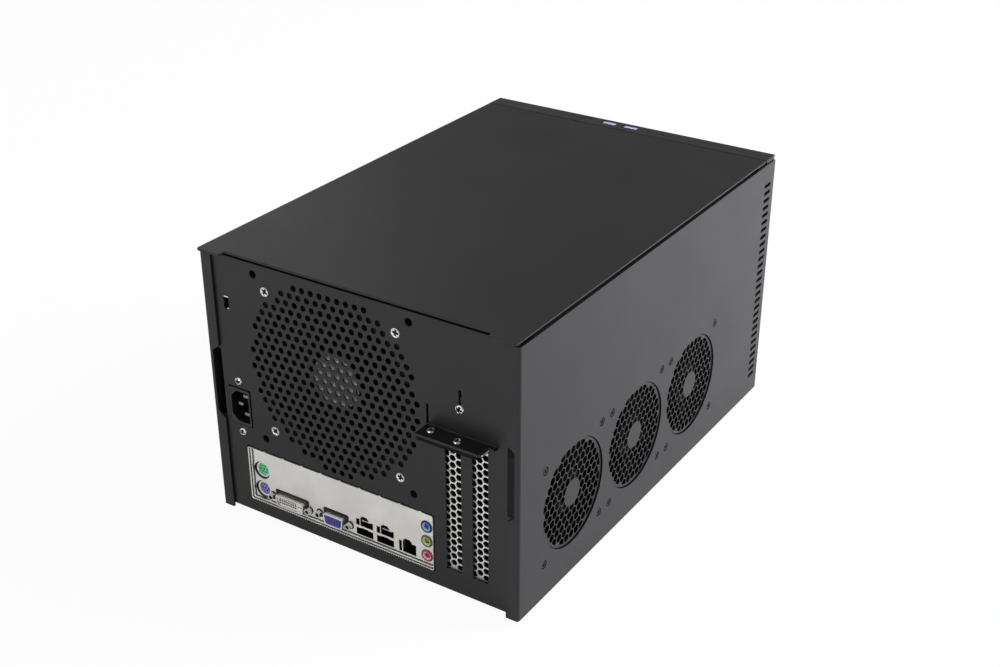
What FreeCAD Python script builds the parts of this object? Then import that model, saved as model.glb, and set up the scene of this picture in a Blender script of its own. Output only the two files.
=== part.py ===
import FreeCAD, Part
import math
import os

# A compact network storage case with a small main board fitted, in millimetres.
# Places are given as on the case drawing: u across from the fan side, w forward from the
# rear face, v up from the lower edge of the side panels. The model frame has +X away from
# the fan side, +Y to the rear and +Z up, with its origin on the floor under the middle.

# Case outline
case_width = 250.0
case_depth = 364.0
panel_height = 198.3
cover_height = 202.0
foot_height = 4.0
ledge_reach = 12.5

# Sheet metal and clearances
panel_sheet = 1.5
chassis_sheet = 1.2
cover_sheet = 1.5
panel_gap = 0.5
rear_gap = 0.3
floor_lift = 2.7
slip_gap = 0.3
shaft_gap = 0.05

# Side panels: rear flange with its finger notch, narrow returns, slots at the front edge
flange_width = 9.5
notch_low = 74.0
notch_high = 130.0
notch_depth = 6.0
notch_slope = 4.0
edge_return = 3.5
return_rear = 18.0
return_front = 40.0
vent_length = 10.5
vent_height = 3.0
vent_pitch = 6.07
vent_low = 17.0
vent_top_gap = 16.0
vent_from_front = 6.0

# Side fans and their pressed honeycomb vents
small_fan = 80.0
small_fan_depth = 25.0
small_fan_count = 3
small_fan_first = 66.9
small_fan_pitch = 85.33
small_fan_v = 61.8
small_hub = 16.0
vent_radius = 38.5
vent_recess = 0.8
vent_ring = 36.3
vent_hub = 10.8
cell_pitch = 13.0
cell_web = 1.9

# Rear fan and its perforated field
large_fan = 120.0
large_fan_depth = 25.0
large_fan_offset = 18.6
large_fan_v = 129.6
large_hub = 21.0
grille_radius = 69.0
grille_pitch = 15.6
grille_hole = 10.2
grille_margin = 2.5
spare_spacing = 124.5
spare_hole = 4.4

# Fan running parts
fan_wall = 2.5
duct_sides = 28
hub_sides = 18
fan_corner = 4.0
blade_count = 7
blade_sheet = 1.3
blade_gap = 2.2
blade_pitch = 36.0
blade_chord = 0.24
strut_width = 4.0
motor_base = 3.5
shaft_radius = 1.5

# Rear panel
rear_top_gap = 1.0
edge_fold = 12.0
base_edge = 12.0
fold_gap = 0.5
window_trim = 2.0
lock_from_side = 18.7
lock_v = 164.9
lock_width = 4.0
lock_height = 9.0

# Card slots, their covers and the retainer ledge
slot_offset = -74.85
slot_pitch = 20.32
slot_count = 2
slot_width = 12.1
slot_low = 19.2
slot_top_gap = 3.0
bracket_width = 18.4
bracket_low = 13.0
bracket_sheet = 0.9
bracket_setback = 1.6
bracket_cell_pitch = 10.2
bracket_cell = 8.2
tab_reach = 9.5
ledge_top = 125.0
ledge_sheet = 1.6
ledge_lip = 3.2
ledge_corner_u = 9.0
ledge_corner_w = 7.0
retainer_low_margin = 13.0
retainer_high_margin = 18.5
retainer_plate = 27.0
clamp_offset = -81.0
clamp_slit_low = 146.0
clamp_slit_high = 156.0
clamp_slit = 1.8
end_slit = 14.0

# Main board, its standoffs and what stands on it
board_size = 170.0
board_sheet = 1.6
board_edge = 5.0
board_setback = 2.2
standoff_height = 10.9
standoff_across = 5.0
standoff_inset_u = 6.35
standoff_inset_w = 10.16
cooler_size = 84.0
cooler_height = 36.0
cooler_base = 6.0
cooler_offset = 20.0
cooler_from_rear = 95.0
fin_count = 12
fin_sheet = 1.6
socket_size = 44.0
socket_height = 3.5
memory_count = 2
memory_offset = 68.0
memory_pitch = 9.0
memory_length = 133.0
memory_height = 32.0
memory_sheet = 1.4
memory_rear = 30.0
memory_clip = 6.0
card_socket_length = 89.0
card_socket_width = 7.5
card_socket_height = 11.0
card_socket_rear = 48.0

# Port plate and the ports behind it
io_offset = 19.65
io_width = 158.7
io_height = 44.5
io_below_board = 3.9
shield_sheet = 0.8
shield_lap = 1.5
shield_rim = 0.8
shield_rise = 2.2
shield_gap = 0.8
port_gap = 0.3
port_proud = 0.4
port_depth = 18.0
ps2_place = 147.5
ps2_heights = (7.2, 22.8)
ps2_radius = 4.4
ps2_collar = 6.9
ps2_sink = 2.6
port_sides = 16
ps2_width = 13.0
ps2_top = 33.0
dvi_place = 121.7
dvi_rise = 4.9
dvi_shell_size = (25.0, 8.6)
dvi_flange = 34.4
vga_place = 83.2
vga_rise = 5.6
vga_shell_size = (17.0, 8.6)
vga_flange = 30.0
shell_wall = 0.8
shell_reach = 2.8
shell_corner = 2.4
flange_height = 10.4
stack_places = (58.8, 41.5)
stack_width = 15.8
stack_height = 17.0
stack_mouth = (13.4, 5.4)
stack_mouth_lows = (1.5, 8.4)
mouth_depth = 13.0
network_place = 23.2
network_width = 16.4
network_height = 14.6
network_mouth = (13.2, 7.8)
network_latch = (6.2, 3.4)
network_mouth_low = 1.8
audio_place = 7.3
audio_low = 5.5
audio_pitch = 11.4
audio_radius = 4.4
audio_bore = 1.8
audio_width = 11.0
audio_top = 34.5

# Power inlet
inlet_from_side = 23.4
inlet_v = 86.7
inlet_width = 19.2
inlet_height = 29.0
inlet_depth = 20.0
inlet_gap = 0.2
inlet_lug = (20.4, 50.0)
inlet_lug_sheet = 2.0
inlet_proud = 0.6
cavity_width = 16.4
cavity_height = 24.2
cavity_corner = 5.0
cavity_depth = 14.8
pin_wide = 4.0
pin_thick = 2.0
pin_length = 11.5
pin_spread = 7.0
pin_offset = 2.5

# Top cover
cover_inset = 0.8
cover_rear = 2.5
ear_reach = 3.5
ear_width = 20.5
ear_corner = 3.0
cover_seam = 0.5

# Front frame, its strip of controls and the door
strip_depth = 15.3
bar_height = 16.5
bar_wall = 1.5
frame_depth = 26.0
post_depth = 8.9
sill_height = 6.3
sill_wall = 1.5
sill_end = 8.0
lug_height = 6.0
door_thickness = 8.0
door_gap = 0.6
door_edge_gap = 0.4
door_skin = 1.6
door_border = 6.0
door_free_border = 12.0
pull_depth = 7.0
pull_height = 36.0
pin_radius = 1.5
pin_gap = 0.1
pin_hold = 5.0
pin_reach = 4.0
magnet_size = (8.0, 6.5, 6.0)
magnet_from_side = 22.0
usb_offsets = (16.5, -2.7)
usb_from_front = 5.5
usb_shell = (13.2, 5.7)
usb_wall = 0.5
usb_floor = 2.0
usb_sink = 0.4
tongue_size = (11.0, 1.9, 10.0)
tongue_shift = 0.8
button_offset = 37.0
control_from_front = 7.0
button_radius = 4.2
button_collar = 0.9
button_collar_sheet = 1.5
stem_width = 4.0
button_travel = 1.5
switch_height = 2.2
switch_size = 6.0
light_offsets = (-20.0, -32.0)
light_radius = 1.25
control_board_low = 2.0
control_board_sheet = 1.6
control_board_span = (-40.0, 46.0)

# Drive cage with two columns of trays
bay_columns = 2
bay_rows = 4
bay_pitch = 29.5
cage_floor = 72.0
cage_length = 146.0
cage_side_gap = 3.6
cage_fan_gap = 2.3
cage_front_gap = 2.0
cage_flange = 12.0
cage_window_inset = 15.0
ledge_strip = 3.0
tray_gap = 1.0
tray_edge = 12.0
tray_sheet = 1.2
tray_rear = 10.0
bezel_gap = 0.3
bezel_depth = 8.0
bezel_trim = 1.5
lever_length = 64.0
lever_height = 10.0
lever_depth = 3.5
backplane_sheet = 1.6
connector_size = (42.0, 7.0, 6.0)
connector_rise = 4.0

# Power supply and feet
supply_width = 81.5
supply_height = 40.5
supply_board_gap = 11.5
supply_from_side = 18.5
supply_mouth = 36.0
supply_mouth_depth = 3.0
foot_size = 16.0
foot_inset = 22.0

# Places that follow from the sizes above
middle = case_width / 2
rear_y = (case_depth - ledge_reach) / 2
inner_low = panel_sheet + panel_gap
inner_high = case_width - inner_low
rear_outer = panel_sheet + rear_gap
rear_inner = rear_outer + chassis_sheet
base_top = floor_lift + chassis_sheet
cover_low = cover_height - cover_sheet
rear_top = cover_low - rear_top_gap
base_front = case_depth - frame_depth
board_low_v = base_top + standoff_height
board_top = board_low_v + board_sheet
shield_back = rear_inner + shield_sheet
board_rear = shield_back + board_setback
bracket_back = rear_inner + bracket_setback + bracket_sheet
io_low_u = middle + io_offset - io_width / 2
io_low_v = board_top - io_below_board
slot_u = [middle + slot_offset - slot_pitch * index for index in range(slot_count)]
tab_top = ledge_top - ledge_sheet
tab_low = tab_top - bracket_sheet
retainer_low = slot_u[-1] - retainer_low_margin
retainer_high = slot_u[0] + retainer_high_margin
board_low_u = slot_u[0] - board_edge
inlet_u = case_width - inlet_from_side
small_fan_w = [small_fan_first + small_fan_pitch * index for index in range(small_fan_count)]
large_fan_u = middle + large_fan_offset
strip_rear = case_depth - strip_depth
bar_low = cover_low - bar_height
sill_top = floor_lift + sill_height
door_low = sill_top + door_gap
door_high = bar_low - door_gap
door_edge = inner_low + door_edge_gap
door_back = case_depth - door_thickness
hinge_u = door_edge + door_thickness / 2
hinge_w = case_depth - door_thickness / 2
cage_high = inner_high - cage_side_gap
cage_low = panel_sheet + small_fan_depth + cage_fan_gap
bay_width = (cage_high - cage_low - (bay_columns + 1) * chassis_sheet) / bay_columns
cage_front = base_front - cage_front_gap
cage_rear = cage_front - cage_length
bay_floor = cage_floor + chassis_sheet
bay_top = bay_floor + bay_rows * bay_pitch
control_board_top = bar_low + control_board_low + control_board_sheet

inward = FreeCAD.Vector(1, 0, 0)
rearward = FreeCAD.Vector(0, 1, 0)
upward = FreeCAD.Vector(0, 0, 1)


# A point of the drawing in the model frame
def at(u, w, v):
    return FreeCAD.Vector(u - case_width / 2, rear_y - w, v + foot_height)


# A rectangular solid between pairs of drawing places
def block(u, w, v):
    return Part.makeBox(u[1] - u[0], w[1] - w[0], v[1] - v[0], at(u[0], w[1], v[0]))


def span(centre, size):
    return (centre - size / 2, centre + size / 2)


def rectangle(across, up):
    return [(across[0], up[0]), (across[1], up[0]), (across[1], up[1]), (across[0], up[1])]


# A regular polygon by its number of sides and the radius of its flats
def polygon(across, up, inradius, sides, start):
    reach = inradius / math.cos(math.pi / sides)
    angles = [start + 2 * math.pi / sides * corner for corner in range(sides)]
    return [(across + reach * math.cos(angle), up + reach * math.sin(angle)) for angle in angles]


# A hexagon by its size across the flats, with a flat or a corner at its top
def hexagon(across, up, flats, flat_top):
    return polygon(across, up, flats / 2, 6, 0.0 if flat_top else math.pi / 6)


# Centres of a triangular grid in rows, between two circles round its middle
def lattice(pitch, reach, clear):
    step = pitch * math.sqrt(3) / 2
    rows = int(reach / step) + 1
    columns = int(reach / pitch) + 2
    spots = []
    for row in range(-rows, rows + 1):
        shift = pitch / 2 if row % 2 else 0.0
        for column in range(-columns, columns + 1):
            spot = (column * pitch + shift, row * step)
            if clear <= math.hypot(spot[0], spot[1]) <= reach:
                spots.append(spot)
    return spots


# Whether a place lies within a distance of a rectangle
def near(place, corners, distance):
    low_u, low_v = corners[0]
    high_u, high_v = corners[2]
    across = low_u - distance < place[0] < high_u + distance
    return across and low_v - distance < place[1] < high_v + distance


def closed(corners):
    return Part.makePolygon(corners + corners[:1])


# Loops drawn on a rear, side or plan view
def rear_loop(points, w):
    return closed([at(u, w, v) for u, v in points])


def side_loop(points, u):
    return closed([at(u, w, v) for w, v in points])


def plan_loop(points, v):
    return closed([at(u, w, v) for u, w in points])


def rear_ring(u, v, radius, w):
    return Part.Wire(Part.makeCircle(radius, at(u, w, v), rearward))


def plan_ring(u, w, radius, v):
    return Part.Wire(Part.makeCircle(radius, at(u, w, v), upward))


# A flat sheet: the first loop is its outline, the others are openings through it
def sheet(loops, thickness):
    return Part.makeFace(loops, "Part::FaceMakerCheese").extrude(thickness)


def joined(first, others):
    return first.fuse(others).removeSplitter()


# Side panel as on the fan side: slotted sheet with a folded rear edge and two returns, and the two
# flange tabs welded to that edge, which leave a finger notch between them
def side_panel(fan_places):
    loops = [side_loop(rectangle((0, case_depth), (0, panel_height)), 0)]
    vent_w = (case_depth - vent_from_front - vent_length, case_depth - vent_from_front)
    vent_count = int((panel_height - vent_top_gap - vent_low) / vent_pitch) + 1
    for index in range(vent_count):
        vent_v = span(vent_low + vent_pitch * index, vent_height)
        loops.append(side_loop(rectangle(vent_w, vent_v), 0))
    cell_reach = vent_ring - cell_pitch / 2
    cell_clear = vent_hub + cell_pitch / 2
    for place in fan_places:
        for up, across in lattice(cell_pitch, cell_reach, cell_clear):
            cell = hexagon(place + across, small_fan_v + up, cell_pitch - cell_web, True)
            loops.append(side_loop(cell, 0))
    panel = sheet(loops, inward * panel_sheet)
    for place in fan_places:
        recess = Part.makeCylinder(vent_radius, vent_recess, at(0, place, small_fan_v), inward)
        panel = panel.cut(recess)
    notch_u = flange_width - notch_depth
    folded_edge = block((0, notch_u), (0, panel_sheet), (0, panel_height))
    low_tab = [(notch_u, 0), (flange_width, 0), (flange_width, notch_low), (notch_u, notch_low + notch_slope)]
    high_tab = [
        (notch_u, notch_high - notch_slope),
        (flange_width, notch_high),
        (flange_width, panel_height),
        (notch_u, panel_height),
    ]
    tabs = [sheet([rear_loop(tab, panel_sheet)], rearward * panel_sheet) for tab in (low_tab, high_tab)]
    length = (return_rear, case_depth - return_front)
    low_return = block((0, panel_sheet + edge_return), length, (0, panel_sheet))
    high_return = block(
        (0, panel_sheet + edge_return), length, (panel_height - panel_sheet, panel_height)
    )
    folded = joined(panel, [folded_edge, low_return, high_return])
    return Part.makeCompound([folded] + tabs)


# Rear panel with all its openings, the finger window behind the plain side's notch among them,
# forward folds and the lip under the slot covers' tabs
def rear_panel():
    across = (inner_low, inner_high)
    loops = [rear_loop(rectangle(across, (floor_lift, rear_top)), rear_inner)]
    for u in span(large_fan_u, spare_spacing):
        for v in span(large_fan_v, spare_spacing):
            loops.append(rear_ring(u, v, spare_hole / 2, rear_inner))
    io_opening = rectangle((io_low_u, io_low_u + io_width), (io_low_v, io_low_v + io_height))
    inlet_opening = rectangle(
        span(inlet_u, inlet_width + 2 * inlet_gap), span(inlet_v, inlet_height + 2 * inlet_gap)
    )
    lock = rectangle(span(case_width - lock_from_side, lock_width), span(lock_v, lock_height))
    ledge_slot = rectangle(
        (retainer_low - slip_gap, retainer_high + slip_gap), (tab_low, ledge_top + slip_gap)
    )
    clamp = rectangle(span(middle + clamp_offset, clamp_slit), (clamp_slit_low, clamp_slit_high))
    openings = [io_opening, inlet_opening, lock, ledge_slot, clamp]
    for u in slot_u:
        openings.append(rectangle(span(u, slot_width), (slot_low, tab_low - slot_top_gap)))
    window_u = (case_width - flange_width - slip_gap, inner_high - chassis_sheet)
    openings.append(rectangle(window_u, (notch_low + window_trim, notch_high - window_trim)))
    for opening in openings:
        loops.append(rear_loop(opening, rear_inner))
    reach = grille_radius - grille_hole / 2
    keep = grille_hole / 2 + grille_margin
    for right, up in lattice(grille_pitch, reach, 0.0):
        centre = (large_fan_u + right, large_fan_v + up)
        if not any(near(centre, opening, keep) for opening in openings):
            loops.append(rear_loop(hexagon(centre[0], centre[1], grille_hole, False), rear_inner))
    plate = sheet(loops, rearward * chassis_sheet)
    fold_w = (rear_inner, rear_inner + edge_fold)
    fold_v = (floor_lift + base_edge + fold_gap, panel_height - panel_sheet - fold_gap)
    left = block((inner_low, inner_low + chassis_sheet), fold_w, fold_v)
    right = block((inner_high - chassis_sheet, inner_high), fold_w, fold_v)
    top_u = (inner_low + edge_return + fold_gap, inner_high - edge_return - fold_gap)
    top = block(top_u, fold_w, (rear_top - chassis_sheet, rear_top))
    lip = block(
        (retainer_low, retainer_high),
        (-tab_reach, rear_outer),
        (tab_low - chassis_sheet, tab_low),
    )
    slit = block(
        (retainer_high - slip_gap, retainer_high + slip_gap),
        (rear_outer, rear_inner),
        (ledge_top, ledge_top + end_slit),
    )
    return joined(plate, [left, right, top, lip]).cut(slit)


# Slot covers: honeycomb strips whose top tabs pass out under the retainer
def slot_covers():
    covers = []
    top_cell = tab_low - slot_top_gap - bracket_cell
    cells = int((top_cell - slot_low) / bracket_cell_pitch)
    for u in slot_u:
        outline = rectangle(span(u, bracket_width), (bracket_low, tab_top))
        loops = [rear_loop(outline, bracket_back)]
        for index in range(cells + 1):
            v = top_cell - bracket_cell_pitch * index
            cell = hexagon(u, v, bracket_cell, True)
            loops.append(rear_loop(cell, bracket_back))
        strip = sheet(loops, rearward * bracket_sheet)
        tab_w = (-tab_reach, bracket_back - bracket_sheet)
        tab = block(span(u, bracket_width), tab_w, (tab_low, tab_top))
        covers.append(joined(strip, [tab]))
    return Part.makeCompound(covers)


# Retainer: ledge with one cut corner, a lip at its outer edge, a clamped plate inside
def slot_retainer():
    back = rear_inner + chassis_sheet
    outline = [
        (retainer_low, back),
        (retainer_low, ledge_corner_w - ledge_reach),
        (retainer_low + ledge_corner_u, -ledge_reach),
        (retainer_high, -ledge_reach),
        (retainer_high, back),
    ]
    ledge = sheet([plan_loop(outline, tab_top)], upward * ledge_sheet)
    lip = block(
        (retainer_low + ledge_corner_u, retainer_high),
        (-ledge_reach, chassis_sheet - ledge_reach),
        (tab_top - ledge_lip, tab_top),
    )
    plate = block(
        (retainer_low, retainer_high), (rear_inner, back), (tab_top, tab_top + retainer_plate)
    )
    return joined(ledge, [lip, plate])


# Folded base with upturned sides
def base_tray():
    length = (rear_inner, base_front)
    floor = block((inner_low, inner_high), length, (floor_lift, base_top))
    sides = []
    for u in (inner_low, inner_high - chassis_sheet):
        sides.append(block((u, u + chassis_sheet), length, (floor_lift, floor_lift + base_edge)))
    return joined(floor, sides)


def rubber_feet():
    feet = []
    places_u = (foot_inset, case_width - foot_inset - foot_size)
    places_w = (foot_inset, case_depth - foot_inset - frame_depth - foot_size)
    for u in places_u:
        for w in places_w:
            feet.append(block((u, u + foot_size), (w, w + foot_size), (-foot_height, floor_lift)))
    return Part.makeCompound(feet)


# Flat cover whose two rear ears have rounded corners
def top_cover():
    low = cover_inset
    high = case_width - cover_inset
    front = strip_rear - cover_seam
    turn = ear_corner * (1 - math.sqrt(0.5))
    first = [
        at(low, front, cover_low),
        at(low, ear_corner - ear_reach, cover_low),
    ]
    low_arc = Part.Arc(
        first[1],
        at(low + turn, turn - ear_reach, cover_low),
        at(low + ear_corner, -ear_reach, cover_low),
    )
    rear_edge = [
        at(low + ear_corner, -ear_reach, cover_low),
        at(ear_width, -ear_reach, cover_low),
        at(ear_width, cover_rear, cover_low),
        at(case_width - ear_width, cover_rear, cover_low),
        at(case_width - ear_width, -ear_reach, cover_low),
        at(high - ear_corner, -ear_reach, cover_low),
    ]
    high_arc = Part.Arc(
        rear_edge[-1],
        at(high - turn, turn - ear_reach, cover_low),
        at(high, ear_corner - ear_reach, cover_low),
    )
    last = [
        at(high, ear_corner - ear_reach, cover_low),
        at(high, front, cover_low),
        first[0],
    ]
    edges = [Part.LineSegment(first[0], first[1]).toShape(), low_arc.toShape()]
    for start, end in zip(rear_edge, rear_edge[1:]):
        edges.append(Part.LineSegment(start, end).toShape())
    edges.append(high_arc.toShape())
    for start, end in zip(last, last[1:]):
        edges.append(Part.LineSegment(start, end).toShape())
    return sheet([Part.Wire(edges)], upward * cover_sheet)


# A many-sided column about the fan axis
def prism(inradius, sides, low, high):
    corners = [FreeCAD.Vector(x, y, low) for x, y in polygon(0, 0, inradius, sides, 0)]
    return Part.Face(closed(corners)).extrude(upward * (high - low))


# Fan frame about its own axis: square duct, four struts and the motor base with its bearing
def fan_frame(size, depth, hub):
    bore = size / 2 - fan_wall
    frame = Part.makeBox(size, size, depth, FreeCAD.Vector(-size / 2, -size / 2, 0))
    uprights = [edge for edge in frame.Edges if abs(edge.tangentAt(edge.FirstParameter).z) > 0.5]
    frame = frame.makeChamfer(fan_corner, uprights)
    frame = frame.cut(prism(bore, duct_sides, 0, depth))
    base_z = depth - motor_base
    pieces = [prism(hub, hub_sides, base_z, depth)]
    length = 2 * bore + fan_wall
    for run_x, run_y in ((length, strut_width), (strut_width, length)):
        corner = FreeCAD.Vector(-run_x / 2, -run_y / 2, base_z)
        pieces.append(Part.makeBox(run_x, run_y, motor_base, corner))
    bearing = Part.makeCylinder(
        shaft_radius + shaft_gap, motor_base, FreeCAD.Vector(0, 0, base_z)
    )
    return joined(frame, pieces).cut(bearing)


# Flat blade widening from the hub to its tip, pitched about its own length
def fan_blade(root, tip, root_chord, tip_chord, middle_z):
    pitch = math.radians(blade_pitch)
    along = FreeCAD.Vector(0, math.cos(pitch), math.sin(pitch))
    across = FreeCAD.Vector(0, -math.sin(pitch), math.cos(pitch))
    corners = []
    for radius, side in ((root, -root_chord), (tip, -tip_chord), (tip, tip_chord), (root, root_chord)):
        centre = FreeCAD.Vector(radius, 0, middle_z)
        corners.append(centre + along * (side / 2) - across * (blade_sheet / 2))
    return Part.Face(closed(corners)).extrude(across * blade_sheet)


# Rotor: hub cup, shaft and pitched blades
def fan_rotor(size, depth, hub):
    hub_low = fan_wall
    hub_high = depth - motor_base - 2 * slip_gap
    middle_z = (hub_low + hub_high) / 2
    tip_chord = size * blade_chord
    tip = math.sqrt((size / 2 - fan_wall - blade_gap) ** 2 - (tip_chord / 2) ** 2)
    blade = fan_blade(hub - fan_wall, tip, hub, tip_chord, middle_z)
    pieces = [
        Part.makeCylinder(
            shaft_radius, depth - hub_high, FreeCAD.Vector(0, 0, hub_high)
        )
    ]
    for index in range(blade_count):
        copy = blade.copy()
        copy.rotate(FreeCAD.Vector(0, 0, 0), upward, 360.0 / blade_count * index)
        pieces.append(copy)
    core = prism(hub, hub_sides, hub_low, hub_high)
    return joined(core, pieces)


def placed(shape, place, axis):
    moved = shape.copy()
    moved.Placement = FreeCAD.Placement(place, FreeCAD.Rotation(upward, axis))
    return moved


# Port plate with a raised rim and an opening for each port
def io_shield():
    face = (io_low_u, io_low_u + io_width)
    rise = (io_low_v, io_low_v + io_height)
    outline = rectangle(
        (face[0] - shield_lap, face[1] + shield_lap), (rise[0] - shield_lap, rise[1] + shield_lap)
    )
    loops = [rear_loop(outline, shield_back)]
    for height in ps2_heights:
        collar = polygon(io_low_u + ps2_place, board_top + height, ps2_collar, port_sides, 0)
        loops.append(rear_loop(collar, shield_back))
    for place, rise_v, size in (
        (dvi_place, dvi_rise, dvi_shell_size),
        (vga_place, vga_rise, vga_shell_size),
    ):
        hole_u = span(io_low_u + place, size[0] + 2 * shell_corner)
        low_v, high_v = span(board_top + rise_v, size[1])
        hole_v = (low_v - port_gap, high_v + shell_corner)
        loops.append(rear_loop(rectangle(hole_u, hole_v), shield_back))
    boxes = [(place, stack_width, stack_height) for place in stack_places]
    boxes.append((network_place, network_width, network_height))
    for place, width, height in boxes:
        hole_u = span(io_low_u + place, width + 2 * port_gap)
        hole_v = (board_top - port_gap, board_top + height + port_gap)
        loops.append(rear_loop(rectangle(hole_u, hole_v), shield_back))
    for index in range(3):
        centre_v = board_top + audio_low + audio_pitch * index
        ring = polygon(io_low_u + audio_place, centre_v, audio_radius + port_gap, port_sides, 0)
        loops.append(rear_loop(ring, shield_back))
    plate = sheet(loops, rearward * shield_sheet)
    outer_u = (face[0] + shield_gap, face[1] - shield_gap)
    outer = rectangle(outer_u, (rise[0] + shield_gap, rise[1] - shield_gap))
    inset = shield_gap + shield_rim
    inner = rectangle((face[0] + inset, face[1] - inset), (rise[0] + inset, rise[1] - inset))
    rim = sheet([rear_loop(outer, rear_inner), rear_loop(inner, rear_inner)], rearward * shield_rise)
    return joined(plate, [rim])


# Twin round keyboard and mouse sockets: metal housing and coloured inserts sunk in its wells
def ps2_housing():
    u = io_low_u + ps2_place
    body = block(
        span(u, ps2_width), (shield_back, shield_back + port_depth), (board_top, board_top + ps2_top)
    )
    for height in ps2_heights:
        well = polygon(u, board_top + height, ps2_radius + port_gap, port_sides, 0)
        floor = shield_back + 2 * ps2_sink
        body = body.cut(sheet([rear_loop(well, floor)], rearward * (floor - shield_back)))
    return body


def ps2_insert(height):
    face = polygon(io_low_u + ps2_place, board_top + height, ps2_radius, port_sides, 0)
    return sheet([rear_loop(face, shield_back + 2 * ps2_sink)], rearward * ps2_sink)


# Outline of a D-shaped connector face, wider above than below
def connector_outline(u, v, size, wall):
    half = size[0] / 2 - wall
    rise = size[1] / 2 - wall
    taper = shell_corner / 2
    return [
        (u - half + taper, v - rise),
        (u + half - taper, v - rise),
        (u + half, v - rise + shell_corner),
        (u + half, v + rise),
        (u - half, v + rise),
        (u - half, v - rise + shell_corner),
    ]


def connector_shell(place, rise_v, size, flange):
    u = io_low_u + place
    v = board_top + rise_v
    front = shield_back
    skirt = sheet(
        [rear_loop(connector_outline(u, v, size, 0), front),
         rear_loop(connector_outline(u, v, size, shell_wall), front)],
        rearward * (front - rear_outer + shell_reach),
    )
    plate = block(span(u, flange), (front, front + shield_sheet), (board_top, board_top + flange_height))
    body = block(
        span(u, size[0]), (front + shield_sheet, front + port_depth), (board_top, board_top + flange_height)
    )
    return joined(plate, [skirt, body])


def connector_insert(place, rise_v, size):
    outline = connector_outline(io_low_u + place, board_top + rise_v, size, shell_wall)
    length = shield_back - rear_outer + shell_reach - 2 * shell_wall
    return sheet([rear_loop(outline, shield_back)], rearward * length)


# Stacked metal port: two rectangular mouths one above the other
def port_stack(place):
    u = io_low_u + place
    front = rear_inner - port_proud
    body = block(span(u, stack_width), (front, front + port_depth), (board_top, board_top + stack_height))
    for low in stack_mouth_lows:
        mouth_v = (board_top + low, board_top + low + stack_mouth[1])
        body = body.cut(block(span(u, stack_mouth[0]), (front, front + mouth_depth), mouth_v))
    return body


# Network jack: mouth with a latch notch above it
def network_port():
    u = io_low_u + network_place
    front = rear_inner - port_proud
    body = block(
        span(u, network_width), (front, front + port_depth), (board_top, board_top + network_height)
    )
    low = board_top + network_mouth_low
    top = low + network_mouth[1]
    mouth = block(span(u, network_mouth[0]), (front, front + mouth_depth), (low, top))
    latch = block(span(u, network_latch[0]), (front, front + mouth_depth), (top, top + network_latch[1]))
    return body.cut(mouth.fuse(latch))


def audio_block():
    u = io_low_u + audio_place
    body = block(
        span(u, audio_width), (shield_back, shield_back + port_depth), (board_top, board_top + audio_top)
    )
    for index in range(3):
        bore = hexagon(u, board_top + audio_low + audio_pitch * index, 2 * audio_bore, True)
        body = body.cut(sheet([rear_loop(bore, shield_back + mouth_depth)], rearward * mouth_depth))
    return body


def audio_jack(index):
    u = io_low_u + audio_place
    v = board_top + audio_low + audio_pitch * index
    loops = [rear_loop(polygon(u, v, audio_radius, port_sides, 0), shield_back)]
    loops.append(rear_loop(polygon(u, v, audio_bore, port_sides, 0), shield_back))
    return sheet(loops, rearward * shield_sheet)


# Power inlet: housing through the panel, lugs behind it, a cavity with two cut corners
def power_inlet():
    front = rear_outer - inlet_proud
    housing = block(
        span(inlet_u, inlet_width), (front, front + inlet_depth), span(inlet_v, inlet_height)
    )
    lugs = block(
        span(inlet_u, inlet_lug[0]),
        (rear_inner, rear_inner + inlet_lug_sheet),
        span(inlet_v, inlet_lug[1]),
    )
    low_u, high_u = span(inlet_u, cavity_width)
    low_v, high_v = span(inlet_v, cavity_height)
    outline = [
        (low_u, low_v),
        (high_u - cavity_corner, low_v),
        (high_u, low_v + cavity_corner),
        (high_u, high_v - cavity_corner),
        (high_u - cavity_corner, high_v),
        (low_u, high_v),
    ]
    cavity = sheet([rear_loop(outline, front + cavity_depth)], rearward * cavity_depth)
    return joined(housing, [lugs]).cut(cavity)


def inlet_pins():
    floor = rear_outer - inlet_proud + cavity_depth
    pins = []
    for u, v in ((pin_offset, 0.0), (-pin_offset, pin_spread), (-pin_offset, -pin_spread)):
        pins.append(
            block(span(inlet_u + u, pin_wide), (floor - pin_length, floor), span(inlet_v + v, pin_thick))
        )
    return Part.makeCompound(pins)


# Main board and the pieces that stand on it
def main_board():
    return block(
        (board_low_u, board_low_u + board_size),
        (board_rear, board_rear + board_size),
        (board_low_v, board_top),
    )


def board_standoffs():
    posts = []
    for u in span(board_low_u + board_size / 2, board_size - 2 * standoff_inset_u):
        for w in span(board_rear + board_size / 2, board_size - 2 * standoff_inset_w):
            outline = hexagon(u, w, standoff_across, False)
            posts.append(sheet([plan_loop(outline, base_top)], upward * standoff_height))
    return Part.makeCompound(posts)


def processor_cooler():
    u = middle + cooler_offset
    low = board_top
    seat = block(span(u, socket_size), span(cooler_from_rear, socket_size), (low, low + socket_height))
    fin_low = low + socket_height
    body = block(
        span(u, cooler_size), span(cooler_from_rear, cooler_size), (fin_low, fin_low + cooler_height)
    )
    gap = (cooler_size - fin_count * fin_sheet) / (fin_count - 1)
    left = u - cooler_size / 2
    slots = []
    for index in range(fin_count - 1):
        slot_low_u = left + fin_sheet + (fin_sheet + gap) * index
        slots.append(
            block(
                (slot_low_u, slot_low_u + gap),
                span(cooler_from_rear, cooler_size),
                (fin_low + cooler_base, fin_low + cooler_height),
            )
        )
    return joined(body.cut(slots), [seat])


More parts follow.
